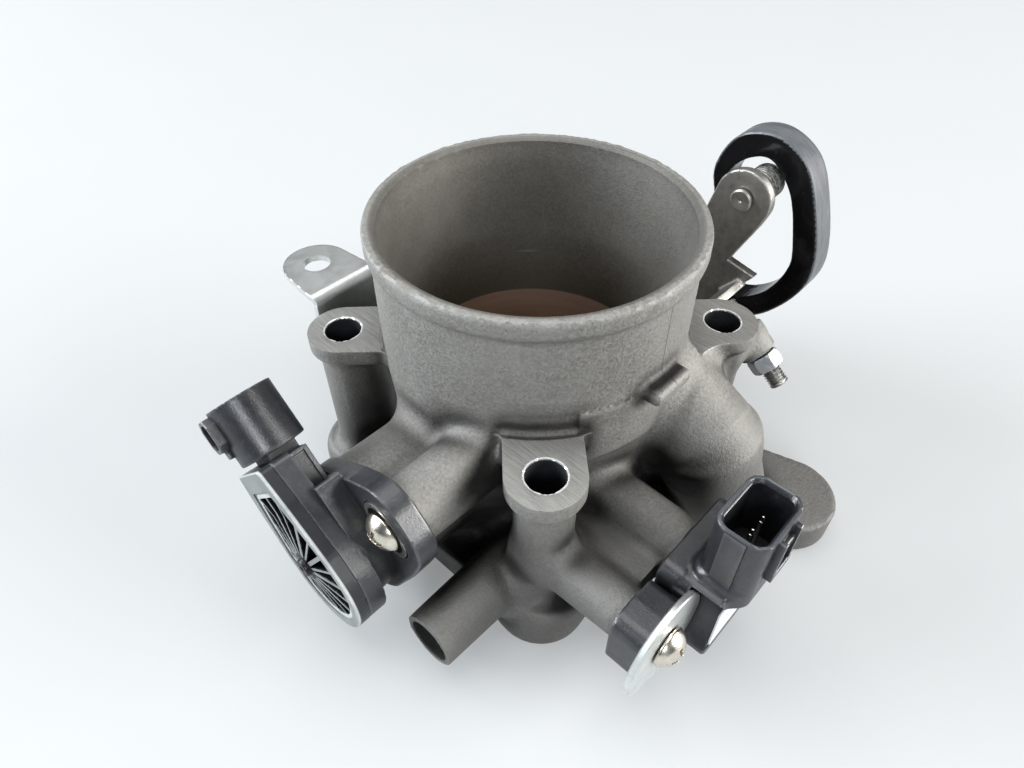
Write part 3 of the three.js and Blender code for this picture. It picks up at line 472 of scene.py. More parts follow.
class Shader:
    """A small builder for node materials."""

    def __init__(self, name):
        self.material = bpy.data.materials.new(name)
        self.material.use_nodes = True
        self.tree = self.material.node_tree
        self.main = self.tree.nodes["Principled BSDF"]
        self.where = self.add("ShaderNodeTexCoord").outputs["Object"]

    def add(self, kind, **settings):
        node = self.tree.nodes.new(kind)
        for key, value in settings.items():
            setattr(node, key, value)
        return node

    def feed(self, socket, value):
        if isinstance(value, bpy.types.NodeSocket):
            self.tree.links.new(value, socket)
        elif isinstance(value, tuple) and len(value) == 3 and socket.type == "RGBA":
            socket.default_value = (*value, 1)
        else:
            socket.default_value = value

    def set(self, **inputs):
        for key, value in inputs.items():
            self.feed(self.main.inputs[key.replace("_", " ")], value)
        return self

    def maths(self, operation, a, b=0.0, clamp=False):
        node = self.add("ShaderNodeMath", operation=operation, use_clamp=clamp)
        for socket, value in zip(node.inputs, (a, b)):
            self.feed(socket, value)
        return node.outputs[0]

    def times(self, a, b):
        return self.maths("MULTIPLY", a, b)

    def hypot(self, a, b):
        return self.maths("SQRT", self.maths("ADD", self.times(a, a), self.times(b, b)))

    def noise(self, mm, detail=4.0, rough=0.55, stretch=(1, 1, 1), offset=0.0):
        """Cloudy values about 0.5, with features of about the given size in millimetres."""
        place = self.add("ShaderNodeMapping")
        self.feed(place.inputs["Vector"], self.where)
        place.inputs["Scale"].default_value = stretch
        place.inputs["Location"].default_value = (offset, offset, offset)
        node = self.add("ShaderNodeTexNoise")
        self.feed(node.inputs["Vector"], place.outputs[0])
        self.feed(node.inputs["Scale"], 1000.0 / mm)
        self.feed(node.inputs["Detail"], detail)
        self.feed(node.inputs["Roughness"], rough)
        return node.outputs["Fac"]

    def between(self, value, low, high, out_low=0.0, out_high=1.0):
        """Slides from out_low to out_high as value goes from low to high."""
        node = self.add("ShaderNodeMapRange")
        for socket, v in zip(node.inputs, (value, low, high, out_low, out_high)):
            self.feed(socket, v)
        return node.outputs[0]

    def mix(self, amount, a, b, blend="MIX"):
        node = self.add("ShaderNodeMix", data_type="RGBA", blend_type=blend)
        self.feed(node.inputs[0], amount)
        self.feed(node.inputs[6], a)
        self.feed(node.inputs[7], b)
        return node.outputs[2]

    def axes(self):
        node = self.add("ShaderNodeSeparateXYZ")
        self.feed(node.inputs[0], self.where)
        return node.outputs[0], node.outputs[1], node.outputs[2]

    def attribute(self, name):
        return self.add("ShaderNodeAttribute", attribute_name=name).outputs["Fac"]

    def bump(self, height, depth_mm, previous=None):
        node = self.add("ShaderNodeBump")
        self.feed(node.inputs["Height"], height)
        node.inputs["Distance"].default_value = depth_mm * MM
        node.inputs["Strength"].default_value = 1.0
        if previous is not None:
            self.feed(node.inputs["Normal"], previous)
        return node.outputs[0]


def cast_aluminium():
    """Sand-cast grey, with machined faces and rubbed edges, and painted shade in its creases, lower down and deep
    in crevices (there over dark patina). Places are in metres.
    """
    s = Shader("cast_aluminium")
    x, y, z = s.axes()
    x = s.maths("SUBTRACT", x, float(BORE[0]))
    y = s.maths("SUBTRACT", y, float(BORE[1]))
    radius = s.hypot(x, y)
    from_bolt = [s.maths("SUBTRACT", s.maths("ABSOLUTE", v), HALF_PITCH * MM) for v in (x, y)]
    bolt = s.hypot(*from_bolt)
    edge_wear_and_crease_shade = s.attribute("edge_wear_and_crease_shade")
    cloud = s.noise(22, 5, 0.6)
    patch = s.noise(5, 4, 0.6, offset=3.0)
    grain = s.noise(0.7, 3, 0.65)
    speck = s.noise(0.32, 2, 0.6, offset=7.0)

    # the cast skin; its fourth mark is painted shade in small creases, its fifth rubbed bright edges
    base = s.mix(s.between(cloud, 0.35, 0.66), (0.205, 0.199, 0.184), (0.275, 0.270, 0.256))
    for pattern, low, high, most, colour in (
        (patch, 0.45, 0.75, 0.4, (0.185, 0.172, 0.150)),
        (grain, 0.38, 0.68, 0.6, (0.395, 0.387, 0.365)),
        (speck, 0.62, 0.72, 0.6, (0.075, 0.070, 0.062)),
        (edge_wear_and_crease_shade, -0.06, -0.5, 0.35, (0.115, 0.107, 0.096)),
        (edge_wear_and_crease_shade, 0.12, 0.9, 0.34, (0.36, 0.356, 0.342)),
    ):
        base = s.mix(s.between(pattern, low, high, 0, most), base, colour)

    # painted shade lower down and deep in crevices, the crevices over dark patina, and the darker inside of the
    # collar
    closed = s.attribute("hollow")
    patina_and_crevice_shade = s.mix(s.between(patch, 0.35, 0.65), (0.014, 0.013, 0.013), (0.036, 0.033, 0.030))
    # painted shade: the casting darkens towards the bottom
    base = s.mix(s.between(z, 0.048, 0.024, 0, 0.5), base, (0.105, 0.104, 0.102))
    # painted shade over dark patina deep in crevices, from the hollow attribute
    base = s.mix(s.between(closed, 0.06, 0.50, 0, 0.93), base, patina_and_crevice_shade)
    inside = s.times(s.between(radius, 0.0356, 0.0351), s.between(z, 0.0352, 0.0362))
    inner_wall_tone = s.mix(s.between(cloud, 0.3, 0.7), (0.092, 0.086, 0.074), (0.132, 0.124, 0.108))
    base = s.mix(s.times(inside, 0.55), base, inner_wall_tone)

    # the bored throat
    throat = s.times(s.between(radius, 0.0322, 0.0319), s.between(z, 0.0366, 0.0362))
    rings = s.noise(1.2, 3, 0.6, (0.03, 0.03, 1.0))
    base = s.mix(throat, base, s.mix(s.between(rings, 0.3, 0.7), (0.46, 0.345, 0.350), (0.55, 0.445, 0.450)))

    # milled lug faces, with bright chamfers round holes whose walls carry painted shade
    top = s.times(s.between(z, 0.0486, 0.0489), s.between(z, 0.0494, 0.0491))
    lug = s.times(top, s.between(bolt, 0.0152, 0.0146))
    scratch = s.noise(0.5, 3, 0.7, (1.0, 0.06, 1.0))
    machined = s.mix(s.between(scratch, 0.35, 0.7), (0.24, 0.236, 0.222), (0.37, 0.366, 0.350))
    base = s.mix(s.times(lug, 0.85), base, machined)
    ring = s.times(s.between(bolt, 0.00475, 0.0046), s.between(z, 0.0484, 0.0487))
    base = s.mix(ring, base, (0.86, 0.86, 0.85))
    # painted shade on the walls of the bolt holes
    hole = s.times(s.between(bolt, 0.0045, 0.0044), s.between(z, 0.0487, 0.0485))
    base = s.mix(s.times(hole, 0.6), base, (0.06, 0.065, 0.075))

    # the mould's parting line up the collar
    off_seam = s.maths("ABSOLUTE", s.maths("ADD", x, 0.0006))
    seam = s.times(s.between(off_seam, 0.00022, 0.00008), s.between(z, 0.0560, 0.0566))
    outside = s.times(s.between(radius, 0.0356, 0.0358), s.between(z, 0.0768, 0.0762))
    base = s.mix(s.times(s.times(seam, outside), 0.6), base, (0.05, 0.048, 0.045))

    tool = s.maths("MAXIMUM", lug, throat)
    rough = s.between(grain, 0.3, 0.7, 0.56, 0.70)
    rough = s.maths("SUBTRACT", rough, s.times(tool, 0.14))
    rough = s.maths("SUBTRACT", rough, s.times(ring, 0.3), clamp=True)
    sand = s.times(grain, s.between(s.maths("MAXIMUM", tool, inside), 0, 1, 1, 0.25))
    height = s.bump(s.maths("ADD", sand, s.times(speck, 0.5)), 0.16)
    lines = s.bump(s.times(lug, scratch), 0.05, height)
    s.set(Base_Color=base, Metallic=0.55, Roughness=rough, Normal=lines)
    return s.material


def plastic(name, dark, light, rough, grain_mm, grain_depth, scuff=(0.10, 0.105, 0.115), scuffed=0.35):
    s = Shader(name)
    cloud = s.noise(9, 4, 0.6)
    grain = s.noise(grain_mm, 3, 0.6)
    dust = s.noise(1.4, 6, 0.75, offset=2.0)
    base = s.mix(s.between(cloud, 0.3, 0.7), dark, light)
    base = s.mix(s.between(dust, 0.52, 0.78, 0, scuffed), base, scuff)
    base = s.mix(s.between(s.attribute("edge_wear_and_crease_shade"), 0.15, 0.6, 0, 0.5), base, scuff)
    # painted shade: near black and rougher deep in crevices and pockets
    closed = s.between(s.attribute("hollow"), 0.08, 0.5, 0, 0.9)
    base = s.mix(closed, base, (0.003, 0.003, 0.004))
    roughness = s.maths("ADD", s.between(cloud, 0.3, 0.7, rough - 0.05, rough + 0.07), s.times(closed, 0.3))
    s.set(Base_Color=base, Roughness=roughness, Normal=s.bump(grain, grain_depth), IOR=1.75)
    return s.material


def ring_plastic():
    """Glossy black on its faces and inside, satin grey where the cable ran round the outside."""
    s = Shader("ring_plastic")
    cloud = s.noise(8, 4, 0.6)
    streak = s.noise(1.2, 4, 0.65, (1.0, 0.2, 0.2))
    moulded = s.noise(3.4, 2, 0.5, offset=4.0)
    face = s.mix(s.between(cloud, 0.3, 0.7), (0.004, 0.004, 0.005), (0.009, 0.009, 0.010))
    face = s.mix(s.between(s.noise(1.1, 4, 0.7, offset=9.0), 0.66, 0.78, 0, 0.5), face, (0.16, 0.16, 0.15))
    outer = s.mix(s.between(streak, 0.3, 0.7), (0.085, 0.090, 0.098), (0.150, 0.158, 0.168))
    side = s.attribute("mask")
    s.set(Base_Color=s.mix(side, face, outer), Roughness=s.between(side, 0, 1, 0.16, 0.42))
    s.set(Normal=s.bump(s.maths("ADD", moulded, s.times(streak, 0.2)), 0.10))
    return s.material


def cover_plastic():
    """Black in its window, with a paler scuffed frame, and painted highlights on the spoke crests and along the
    frame's two edge lines.
    """
    s = Shader("cover_plastic")
    cloud = s.noise(6, 5, 0.65)
    grain = s.noise(0.5, 3, 0.6)
    frame_tone = s.mix(s.between(cloud, 0.3, 0.7), (0.13, 0.14, 0.14), (0.24, 0.255, 0.25))
    black = s.mix(s.between(grain, 0.3, 0.7), (0.006, 0.006, 0.007), (0.012, 0.012, 0.014))
    edge_highlight = s.mix(s.between(cloud, 0.3, 0.7), (0.42, 0.44, 0.43), (0.60, 0.62, 0.60))
    tone = s.attribute("mask")
    base = s.mix(s.between(tone, 0.02, 0.2), black, (0.022, 0.024, 0.028))
    # the frame's tone, also given to the spoke crests as a painted highlight
    base = s.mix(s.between(tone, 0.3, 0.55), base, frame_tone)
    # painted highlight along the frame's two edge lines
    base = s.mix(s.between(tone, 0.65, 0.95), base, edge_highlight)
    s.set(Base_Color=base, Roughness=s.between(cloud, 0.3, 0.7, 0.3, 0.42), Normal=s.bump(grain, 0.02))
    return s.material


def metal(name, dark, light, rough, spread=0.1, cloud_mm=6.0, stretch=(1, 1, 1), brushed=0.0,
          stain=None, stained=0.0):
    s = Shader(name)
    cloud = s.noise(cloud_mm, 5, 0.62)
    lines = s.noise(0.6, 4, 0.7, stretch)
    base = s.mix(s.between(cloud, 0.32, 0.68), dark, light)
    base = s.mix(s.between(lines, 0.4, 0.75, 0, 0.35), base, light)
    if stain:
        base = s.mix(s.between(s.noise(2.4, 6, 0.7, offset=5.0), 0.5, 0.68, 0, stained), base, stain)
    roughness = s.between(cloud, 0.3, 0.7, rough + spread, rough)
    s.set(Base_Color=base, Metallic=1.0, Roughness=roughness, Normal=s.bump(lines, 0.02 + brushed))
    return s.material


def rubber():
    s = Shader("rubber")
    grain = s.noise(0.5, 3, 0.6)
    s.set(Base_Color=s.mix(grain, (0.012, 0.012, 0.012), (0.03, 0.03, 0.03)))
    s.set(Roughness=s.between(grain, 0.3, 0.7, 0.7, 0.85), Normal=s.bump(grain, 0.03))
    return s.material


# Each finish is a material and the record's slot that it stands for.
CAST = cast_aluminium(), "cast_aluminium"
BLACK = plastic("black_plastic", (0.012, 0.013, 0.015), (0.024, 0.026, 0.030), 0.40, 0.35, 0.02), "black_plastic"
TEXTURED = plastic("sensor_plastic", (0.013, 0.014, 0.017), (0.028, 0.030, 0.035), 0.34, 0.4, 0.05,
                   scuffed=0.5), "black_plastic"
GLOSS = ring_plastic(), "ring_plastic"
STEEL = metal("worn_steel", (0.29, 0.283, 0.265), (0.50, 0.492, 0.470), 0.40, 0.14, 7, (1, 0.15, 1), 0.02,
              (0.15, 0.105, 0.07), 0.35), "worn_steel"
ZINC = metal("zinc_plate", (0.60, 0.625, 0.615), (0.80, 0.82, 0.80), 0.36, 0.14, 4), "zinc_plate"
NICKEL = metal("bright_screw", (0.60, 0.55, 0.47), (0.80, 0.76, 0.68), 0.2, 0.12, 2.5), "nickel"
BOLT = metal("plated_screw", (0.34, 0.335, 0.325), (0.56, 0.55, 0.53), 0.3, 0.12, 3), "nickel"
TIN = metal("tin", (0.62, 0.62, 0.60), (0.80, 0.80, 0.78), 0.25, 0.1, 2), "tin"
BRASS = metal("brass", (0.34, 0.25, 0.11), (0.55, 0.43, 0.22), 0.36, 0.14, 5), "brass"
SEALANT = plastic("sealed_plug", (0.40, 0.42, 0.43), (0.66, 0.68, 0.68), 0.4, 0.8, 0.08,
                  (0.10, 0.09, 0.08), 0.8), "zinc_plate"
RUBBER = rubber(), "rubber"
COVER = cover_plastic(), "black_plastic"
LABEL = plastic("blank_label", (0.62, 0.66, 0.72), (0.74, 0.77, 0.82), 0.3, 0.6, 0.01,
                (0.45, 0.5, 0.6), 0.3), "label"
GNARLED = metal("gnarled_steel", (0.10, 0.095, 0.09), (0.62, 0.60, 0.57), 0.3, 0.25, 0.9,
                brushed=0.25), "worn_steel"
PAINTED = metal("painted_nut", (0.30, 0.31, 0.32), (0.44, 0.45, 0.46), 0.42, 0.15, 3,
                stain=(0.55, 0.66, 0.78), stained=0.7), "zinc_plate"

# ---- the casting ---------------------------------------------------------


def post(sx, sy):
    """One bolt position: lug, column and foot, as (field, fillet) pairs."""
    x, y = sx * HALF_PITCH, sy * HALF_PITCH
    inward = np.array([-x, -y]) / math.hypot(x, y)
    side = np.array([-inward[1], inward[0]])

    def strip(half, reach):
        def shape(u, v):
            du, dv = u - x, v - y
            t = du * inward[0] + dv * inward[1]
            w = du * side[0] + dv * side[1]
            return corner(np.abs(w) - half, np.abs(t - reach / 2) - reach / 2, 0)
        return shape

    lo = (min(0, x) + (x < 0) * -10, min(0, y) + (y < 0) * -10, 0)
    hi = (max(0, x) + 10, max(0, y) + 10, 50)
    web = near(lo, hi, prism(2, 1, LUG_TOP - 1, strip(4.2, 18)), 9)
    tongue, round_end = strip(8.5, 18), disc(x, y, 8.5)
    lug = prism(2, LUG_TOP - 4.2, LUG_TOP + 1.2, lambda u, v: np.minimum(tongue(u, v), round_end(u, v)), 0.5)
    lug = near(lo, hi, lug, 9)
    column = bar(2, 1, LUG_TOP - 1, x, y, 6.6)
    foot = bar(2, 0, 10.5, x, y, 9.8, 9.4)
    return [(column, 4.5), (web, 3.0), (foot, 5.0), (lug, 1.3)]


def along_stop(d):
    """The point of the stop screw's axis at d from its tip."""
    return STOP_TIP + STOP_DIR * d


def casting():
    barrel = revolve([
        (0, 0), (36.5, 0), (35, LUG_TOP - 16), (36.1, LUG_TOP - 2), (COLLAR, 74.4), (36.2, 75.1), (36.8, 75.7),
        (37, 76.4), (37, 79.0), (36.8, 79.6), (36.3, COLLAR_TOP), (0, COLLAR_TOP),
    ])
    tps_bosses = [(on_shaft(-53.6, -25, 15, e=0.4), 5.0)]
    for way in (-1, 1):
        y, z = way * DIAGONAL, SHAFT_Z - way * DIAGONAL
        tps_bosses.append((bar(0, -53.6, -25, y, z, 7.4, 7.9, e=0.4), 3.5))
    bolts = [(sx * HALF_PITCH, sy * HALF_PITCH) for sx, sy in CORNERS]
    square = hull([(x, y, 9.8) for x, y in bolts])
    lobe = hull([(31, -62.5, 12), (18, -30, 14)])
    dome = (14.5, -42.5, 29.5)
    body = fuse(
        barrel,
        (near((-43, -43, 0), (43, 43, 9), prism(2, 0, 9, square, 1.0)), 4.0),
        (near((4, -75, 0), (44, -15, 9), prism(2, 0, 9, lobe, 1.1)), 4.5),
        *[part for corner_at in CORNERS for part in post(*corner_at)],
        (rod((14.5, -27, 40), dome, 12.8), 5.0),
        (ball(dome, 12.8), 1.0),
        (rod(dome, (19, -49, 8), 12.8, 12), 4.0),
        *tps_bosses,
        (on_shaft(41, 25, 12, 13, 0.4), 4.0),
        (bar(0, -61.6, -20, TUBE_Y, TUBE_Z, 6.6, 7.6, e=0.5), 4.5),
        (bar(1, MAP_FACE + 0.3, -28, MAP_SCREW_X, MAP_Z, 5.6, 6.1, e=0.3), 3.5),
        (bar(1, MAP_FACE + 0.3, -26, MAP_PORT_X, MAP_PORT_Z, 7.2, 8.0, e=0.3), 3.5),
        (box(MAP_SCREW_X, MAP_PORT_X, MAP_FACE + 2, -28, MAP_Z - 4, MAP_Z + 2.5, 0.5), 2.0),
        (rod(along_stop(10.3), along_stop(17.5), 4.7, e=0.4), 2.5),
        (rod((34, -33, 40), along_stop(14.0), 5, 4.4), 3.0),
        (box(-30, -14, 30, 42.3, 14, 36, 1.0), 3.0),
        (box(-7, 5, -40.4, -33, 53.4, 57, 1.4), 1.5),
    )
    step_wall = revolve([(0, 40), (36.6, 40), (36.6, 55), (0, 55)])
    step_side = box(-20, 4, -45, -20, 40, 60)
    body = fuse(body, common(step_wall, step_side))
    bore = revolve([
        (-1, -2), (THROAT, -2), (THROAT, 36.4), (31.5, 54.7), (33.4, 75), (34.0, 79.3), (34.9, 80.0),
        (35.9, 81), (35.9, 90), (-1, 90),
    ])

    def spot_face(x, y):
        def tool(p):
            round_tool = np.hypot(p[0] - x, p[1] - y) - 15
            off_collar = 37.0 - np.hypot(p[0], p[1])
            return np.maximum(np.maximum(round_tool, off_collar), np.maximum(LUG_TOP - p[2], p[2] - 60))
        return tool

    tps_holes = []
    for way in (-1, 1):
        y, z = way * DIAGONAL, SHAFT_Z - way * DIAGONAL
        tps_holes.append(bar(0, -60, -40, y, z, SCREW_HOLE))
    return carve(
        body, bore,
        *[spot_face(x, y) for x, y in bolts],
        *[bar(2, -2, 60, x, y, BOLT_HOLE) for x, y in bolts],
        *[bar(2, LUG_TOP - 0.45, LUG_TOP + 1, x, y, 4.2, 5.65) for x, y in bolts],
        *tps_holes,
        on_shaft(-60, 60, SHAFT_HOLE), on_shaft(-60, -37, 7.3), on_shaft(34, 60, 7.3), on_shaft(-60, -48, 9),
        bar(1, -60, -42, MAP_SCREW_X, MAP_Z, SCREW_HOLE),
        bar(1, -60, -44, MAP_PORT_X, MAP_PORT_Z, 5),
        bar(0, -63, -46, TUBE_Y, TUBE_Z, 5.2),
        rod(along_stop(5), along_stop(26), SCREW_HOLE),
        *[bar(1, 50, 32, x, BRACKET_SCREWS_Z, 2.3) for x in BRACKET_SCREWS_X],
        lambda p: p[2],
    )


sculpt("casting", casting(), (-63, -76, 0), (53, 44, COLLAR_TOP), 0.8, CAST, "body",
       ["throttle_housing"], reach=1.6, depth=13)

# ---- throttle plate and shaft --------------------------------------------

TILT = math.radians(-5)
PLATE_SCREWS_X = (-12, 12)


def tilted(field):
    """A field drawn square to the plate, leaned with it about the shaft."""
    c, s = math.cos(TILT), math.sin(TILT)

    def inner(p):
        y, z = p[1], p[2] - SHAFT_Z
        return field(np.array([p[0], y * c + z * s, z * c - y * s]))

    return inner


def plate_screw_hole(x):
    return bar(2, -8, 8, x, 0, 2.3)


shaft = carve(
    fuse(on_shaft(-64.5, 66, SHAFT, e=0.5), on_shaft(65, 78.4, SHAFT_END, e=0.4)),
    tilted(box(-31.8, 31.8, -8, 8, -1.3, 1.3)), box(-66, -58.5, -6, 6, SHAFT_Z + 3, SHAFT_Z + 6),
    *[tilted(tool) for x in PLATE_SCREWS_X for tool in (plate_screw_hole(x), bar(2, 2.1, 8, x, 0, 3.9))],
)
sculpt("shaft", shaft, (-65, -5, 21), (79, 5, 32), 0.4, STEEL, "throttle", ["throttle_shaft"])
butterfly = carve(
    common(bar(2, 10, 42, 0, 0, 30.6), tilted(box(-40, 40, -40, 40, -1, 1))),
    *[tilted(plate_screw_hole(x)) for x in PLATE_SCREWS_X],
)
sculpt("butterfly", butterfly, (-31, -31, 21), (31, 31, 31), 0.45, BRASS, "throttle", ["throttle_plate"])
for number, x in enumerate(PLATE_SCREWS_X, 1):
    head = common(bar(2, 2.4, 4.4, x, 0, 3.3, 3.55, 0.3), ball((x, 0, -3.6), 8))
    screw = carve(fuse(bar(2, -4.6, 2.6, x, 0, 2, e=0.2), head), box(x - 0.45, x + 0.45, -5, 5, 3.5, 6))
    sculpt(f"plate_fixing_{number}", tilted(screw), (x - 4, -4, 21), (x + 4, 4, 31), 0.22, STEEL, "throttle",
           [f"plate_screw_{number}"])

# ---- throttle position sensor, in its own frame: x, along, across --------

TPS_AT = (0, 0, SHAFT_Z)
SLOTS_AT = (-TPS_SCREW, TPS_SCREW)


def d_shape(half, bottom, flat_at, flat_half, r=1.5):
    """Round below, flat above: the outline of the sensor, seen along the shaft."""
    a, c = flat_at - r, flat_half - r
    return hull([(0, 0, half), (half - bottom, 0, half), (a, c, r), (a, -c, r)])


def slotted(c, radius):
    """The outline of the slot round the sensor screw at c."""
    return hull([(-2.2, c, radius), (2.2, c, radius)])


BARREL_X = -63.4
ears = hull([(0, 0, 16)] + [(a, c, 8.6) for a in (-2, 2) for c in SLOTS_AT])
back_plate = prism(0, -67.9, -63.6, d_shape(13.95, 17.05, 22.95, 9.65), 0.25)
block = prism(0, -64.5, -58.4, d_shape(13.9, 13.9, 14.2, 13.8, 0.5), 0.12)
lock = polygon([(29.4, -3.4), (31.2, -5.0), (35.2, -5.0), (37.2, -3.0), (37.2, 0.2), (35.4, 1.6), (31.0, 1.6),
                (29.4, 0.4)])
lock_window = polygon([(30.4, -3.0), (31.7, -4.1), (34.8, -4.1), (36.3, -2.6), (36.3, -0.2), (35.0, 0.7),
                       (31.5, 0.7), (30.4, 0.0)])
near_lock = (-73, 29, -6), (-65, 38, 3)
tps = carve(
    fuse(
        near((-59, -18, -30), (-53, 18, 30), prism(0, -58.9, -53.9, ears, 0.4)),
        near((-65, -15, -15), (-58, 16, 15), block),
        near((-68, -18, -18), (-63, 24, 18), back_plate),
        (box(-64.2, -59.6, 12, 22.4, -9, 9, 0.25), 0.15),
        (box(-66.8, -60.2, 21.6, 25.4, -6.6, 6.6, 0.4), 0.2),
        bar(1, 24.5, 38, BARREL_X, 0, 7.4, 7.3, 0.35),
        near(*near_lock, prism(0, -72.6, -66, lock, 0.25)),
        (box(-71.6, -66, 27.4, 30.0, -3.0, -0.4, 0.3), 0.3),
    ),
    bar(1, 27, 39, BARREL_X, 0, 6.1),
    near(*near_lock, prism(0, -74, -71.4, lock_window)),
    bar(0, -67, -53, 0, 0, 11),
    bar(0, -57.5, -53, 0, 0, 13.2),
    *[near((-60, -7, c - 6), (-53, 7, c + 6), prism(0, -60, -53, slotted(c, 4.9))) for c in SLOTS_AT],
    *[box(-63.6, -60.6, 13.8, 21.6, c - 1.0, c + 1.0) for c in (-9.6, 9.6)],
    r=0.12,
)
sculpt("position_sensor", tps, (-73, -19, -29), (-53, 39, 29), 0.36, TEXTURED, "body",
       ["tps_housing"], TO_TPS, TPS_AT, reach=0.6, depth=6)

SPOKES = 18
COVER_FACE = -70.5


def spoke_roof(radius):
    """The height of the spokes' crests, which rise towards the hub."""
    return COVER_FACE - 1.6 * np.clip(1 - radius / 13, 0, 1)


def spokes(p):
    """Thin radial walls, every second one thicker."""
    a, c = p[1], p[2]
    radius = np.hypot(a, c)
    turn = np.arctan2(c, a)
    pitch = 2 * math.pi / SPOKES
    index = np.round(turn / pitch)
    off = np.abs(np.sin(turn - index * pitch)) * radius
    half = np.where(index % 2 == 0, 0.5, 0.3)
    return np.maximum(np.maximum(off - half, spoke_roof(radius) - p[0]), p[0] + 68)


window = hull([(0, 0, 10.9), (-2.9, 0, 10.9), (16.4, 5.2, 0.5), (16.4, -5.2, 0.5)])
frame_line = hull([(0, 0, 12.0), (-2.9, 0, 12.0), (17.6, 6.2, 0.8), (17.6, -6.2, 0.8)])
rim = d_shape(14, 17.1, 23, 9.7)
cover = carve(
    near((-71, -18, -18), (-67, 24, 18), prism(0, -71, -67.8, rim, 0.25)),
    near((-72, -18, -18), (-70, 24, 18), prism(0, -72, -70.65, frame_line)),
    near((-72, -18, -18), (-68, 24, 18), prism(0, -75, -68.8, window)),
)
inside_window = near((-75, -14, -14), (-67, 18, 14), prism(0, -75, -67, window))
cover = fuse(cover, common(spokes, inside_window), bar(0, -72.7, -68.6, 0, 0, 2.0, 3.0, 0.3))
cover = carve(cover, bar(0, -73, -71.4, 0, 0, 0.9, 0.5))


def cover_tone(p):
    """0 in the black window, 0.25 on the sides, more on spoke crests (a painted highlight) and the frame, most on
    its two lines (a painted highlight along the frame's edges).
    """
    to_window, to_edge = window(p[1], p[2]), -rim(p[1], p[2])
    radius = np.hypot(p[1], p[2])
    front = p[0] < COVER_FACE
    tone = np.where(front, 0.55, 0.25)
    # painted highlight along the frame's two edge lines
    tone = np.where((to_window < 1.0) & front, 0.9, tone)
    tone = np.where((to_edge < 0.3) & front, 0.85, tone)
    # painted highlight on the spoke crests
    crest = (p[0] < spoke_roof(radius) + 0.2) & (radius > 3.4)
    return np.where(to_window <= -0.1, np.where(crest, 0.62, 0.0), tone)


sculpt("sensor_cover", cover, (-73, -18, -18), (-67.5, 24, 18), 0.28, COVER, "body",
       ["tps_back_cover"], TO_TPS, TPS_AT, reach=0.45, mask=cover_tone)

for number, c in enumerate(SLOTS_AT, 1):
    ring = carve(prism(0, -59.1, -53.9, slotted(c, 4.6), 0.15), prism(0, -60, -53, slotted(c, 3.4)))
    sculpt(f"slot_sleeve_{number}", ring, (-59.2, -7, c - 5), (-53.8, 7, c + 5), 0.25, TIN, "body",
           [f"tps_sleeve_{number}"], TO_TPS, TPS_AT)


def pan_head(r, height, shank, length):
    """A cross-head screw along +Z with its bearing face at 0."""
    dome = (r * r + height * height) / (2 * height) * 1.06
    cap = common(bar(2, 0, height, 0, 0, r, e=0.25), ball((0, 0, height - dome), dome))

    def cross(p):
        deep = height - 0.62 * height
        taper = (p[2] - deep) * 0.28
        bars = [np.maximum(np.abs(u) - 0.42 - 0.12 * taper, np.abs(v) - r * 0.42 - taper)
                for u, v in ((p[0], p[1]), (p[1], p[0]))]
        return np.maximum(np.minimum(*bars), deep - p[2])

    return carve(fuse(cap, bar(2, -length, 0.5, 0, 0, shank, e=0.3)), cross, r=0.08)


for number, side in enumerate((-1, 1), 1):
    at = (-59.4, -side * DIAGONAL, SHAFT_Z + side * DIAGONAL)
    sculpt(f"sensor_screw_{number}", pan_head(4.5, 3.0, 2.5, 15), (-4.6, -4.6, -15), (4.6, 4.6, 3.1), 0.2,
           NICKEL, "body", [f"tps_screw_{number}"], along_axis((-1, 0, 0)), at)

# ---- manifold pressure sensor --------------------------------------------

map_ear = hull([(MAP_SCREW_X - 3.4, MAP_Z + 3.2, 3.6), (-27.5, MAP_Z + 4.2, 2.2), (-26, MAP_Z - 8, 4),
                (MAP_SCREW_X - 2.6, MAP_Z - 5.4, 4.4), (MAP_SCREW_X + 1, MAP_Z - 8, 4)])
socket_flare = rounded(-12, SOCKET_Y, 7.5, 5.1, 2.9)
map_parts = fuse(
    near((-41, -64, 10), (-20, -55, 32), prism(1, -63.4, MAP_FACE, map_ear, 0.35)),
    near((-25, -61, 10), (2, -56, 33), prism(1, -61, MAP_FACE, rounded(-11.6, MAP_Z - 2, 12.7, 11, 3), 0.6)),
    (near((-25, -71, 10), (0, -60, 33), prism(1, -70.5, -60.5, rounded(-12.2, 21.6, 11.8, 10.6, 2.5), 0.8)), 0.6),
    (near((-21, -74, 29), (-3, -61, 50), prism(2, 29, 50, rounded(-12, SOCKET_Y, 8.2, 5.8, 3.4), 0.45)), 1.6),
    (near((-23, -75, 29), (-1, -60, 38), prism(2, 29, 34, rounded(-12, SOCKET_Y + 1.2, 9.0, 5.6, 3.4), 0.8)), 1.2),
    *[(box(x, x + 1.2, -74.9, -72.9, 37, 49, 0.25), 0.3) for x in (-15.4, -9.6)],
    (box(-14.6, -9.4, -74.4, -72.9, 43.6, 46.2, 0.4), 0.2),
    box(-15.4, -8.4, -75.0, -74.2, 37, 39.4, 0.2),
    (box(-24.6, -23.2, -69.4, -60.5, 15, 29.5, 0.3), 0.8),
    box(-20.6, -20.1, -69.6, -65.0, 31, 49.4, 0.15),
    bar(1, -57, -45, MAP_PORT_X, MAP_PORT_Z, 3.4, e=0.3),
)
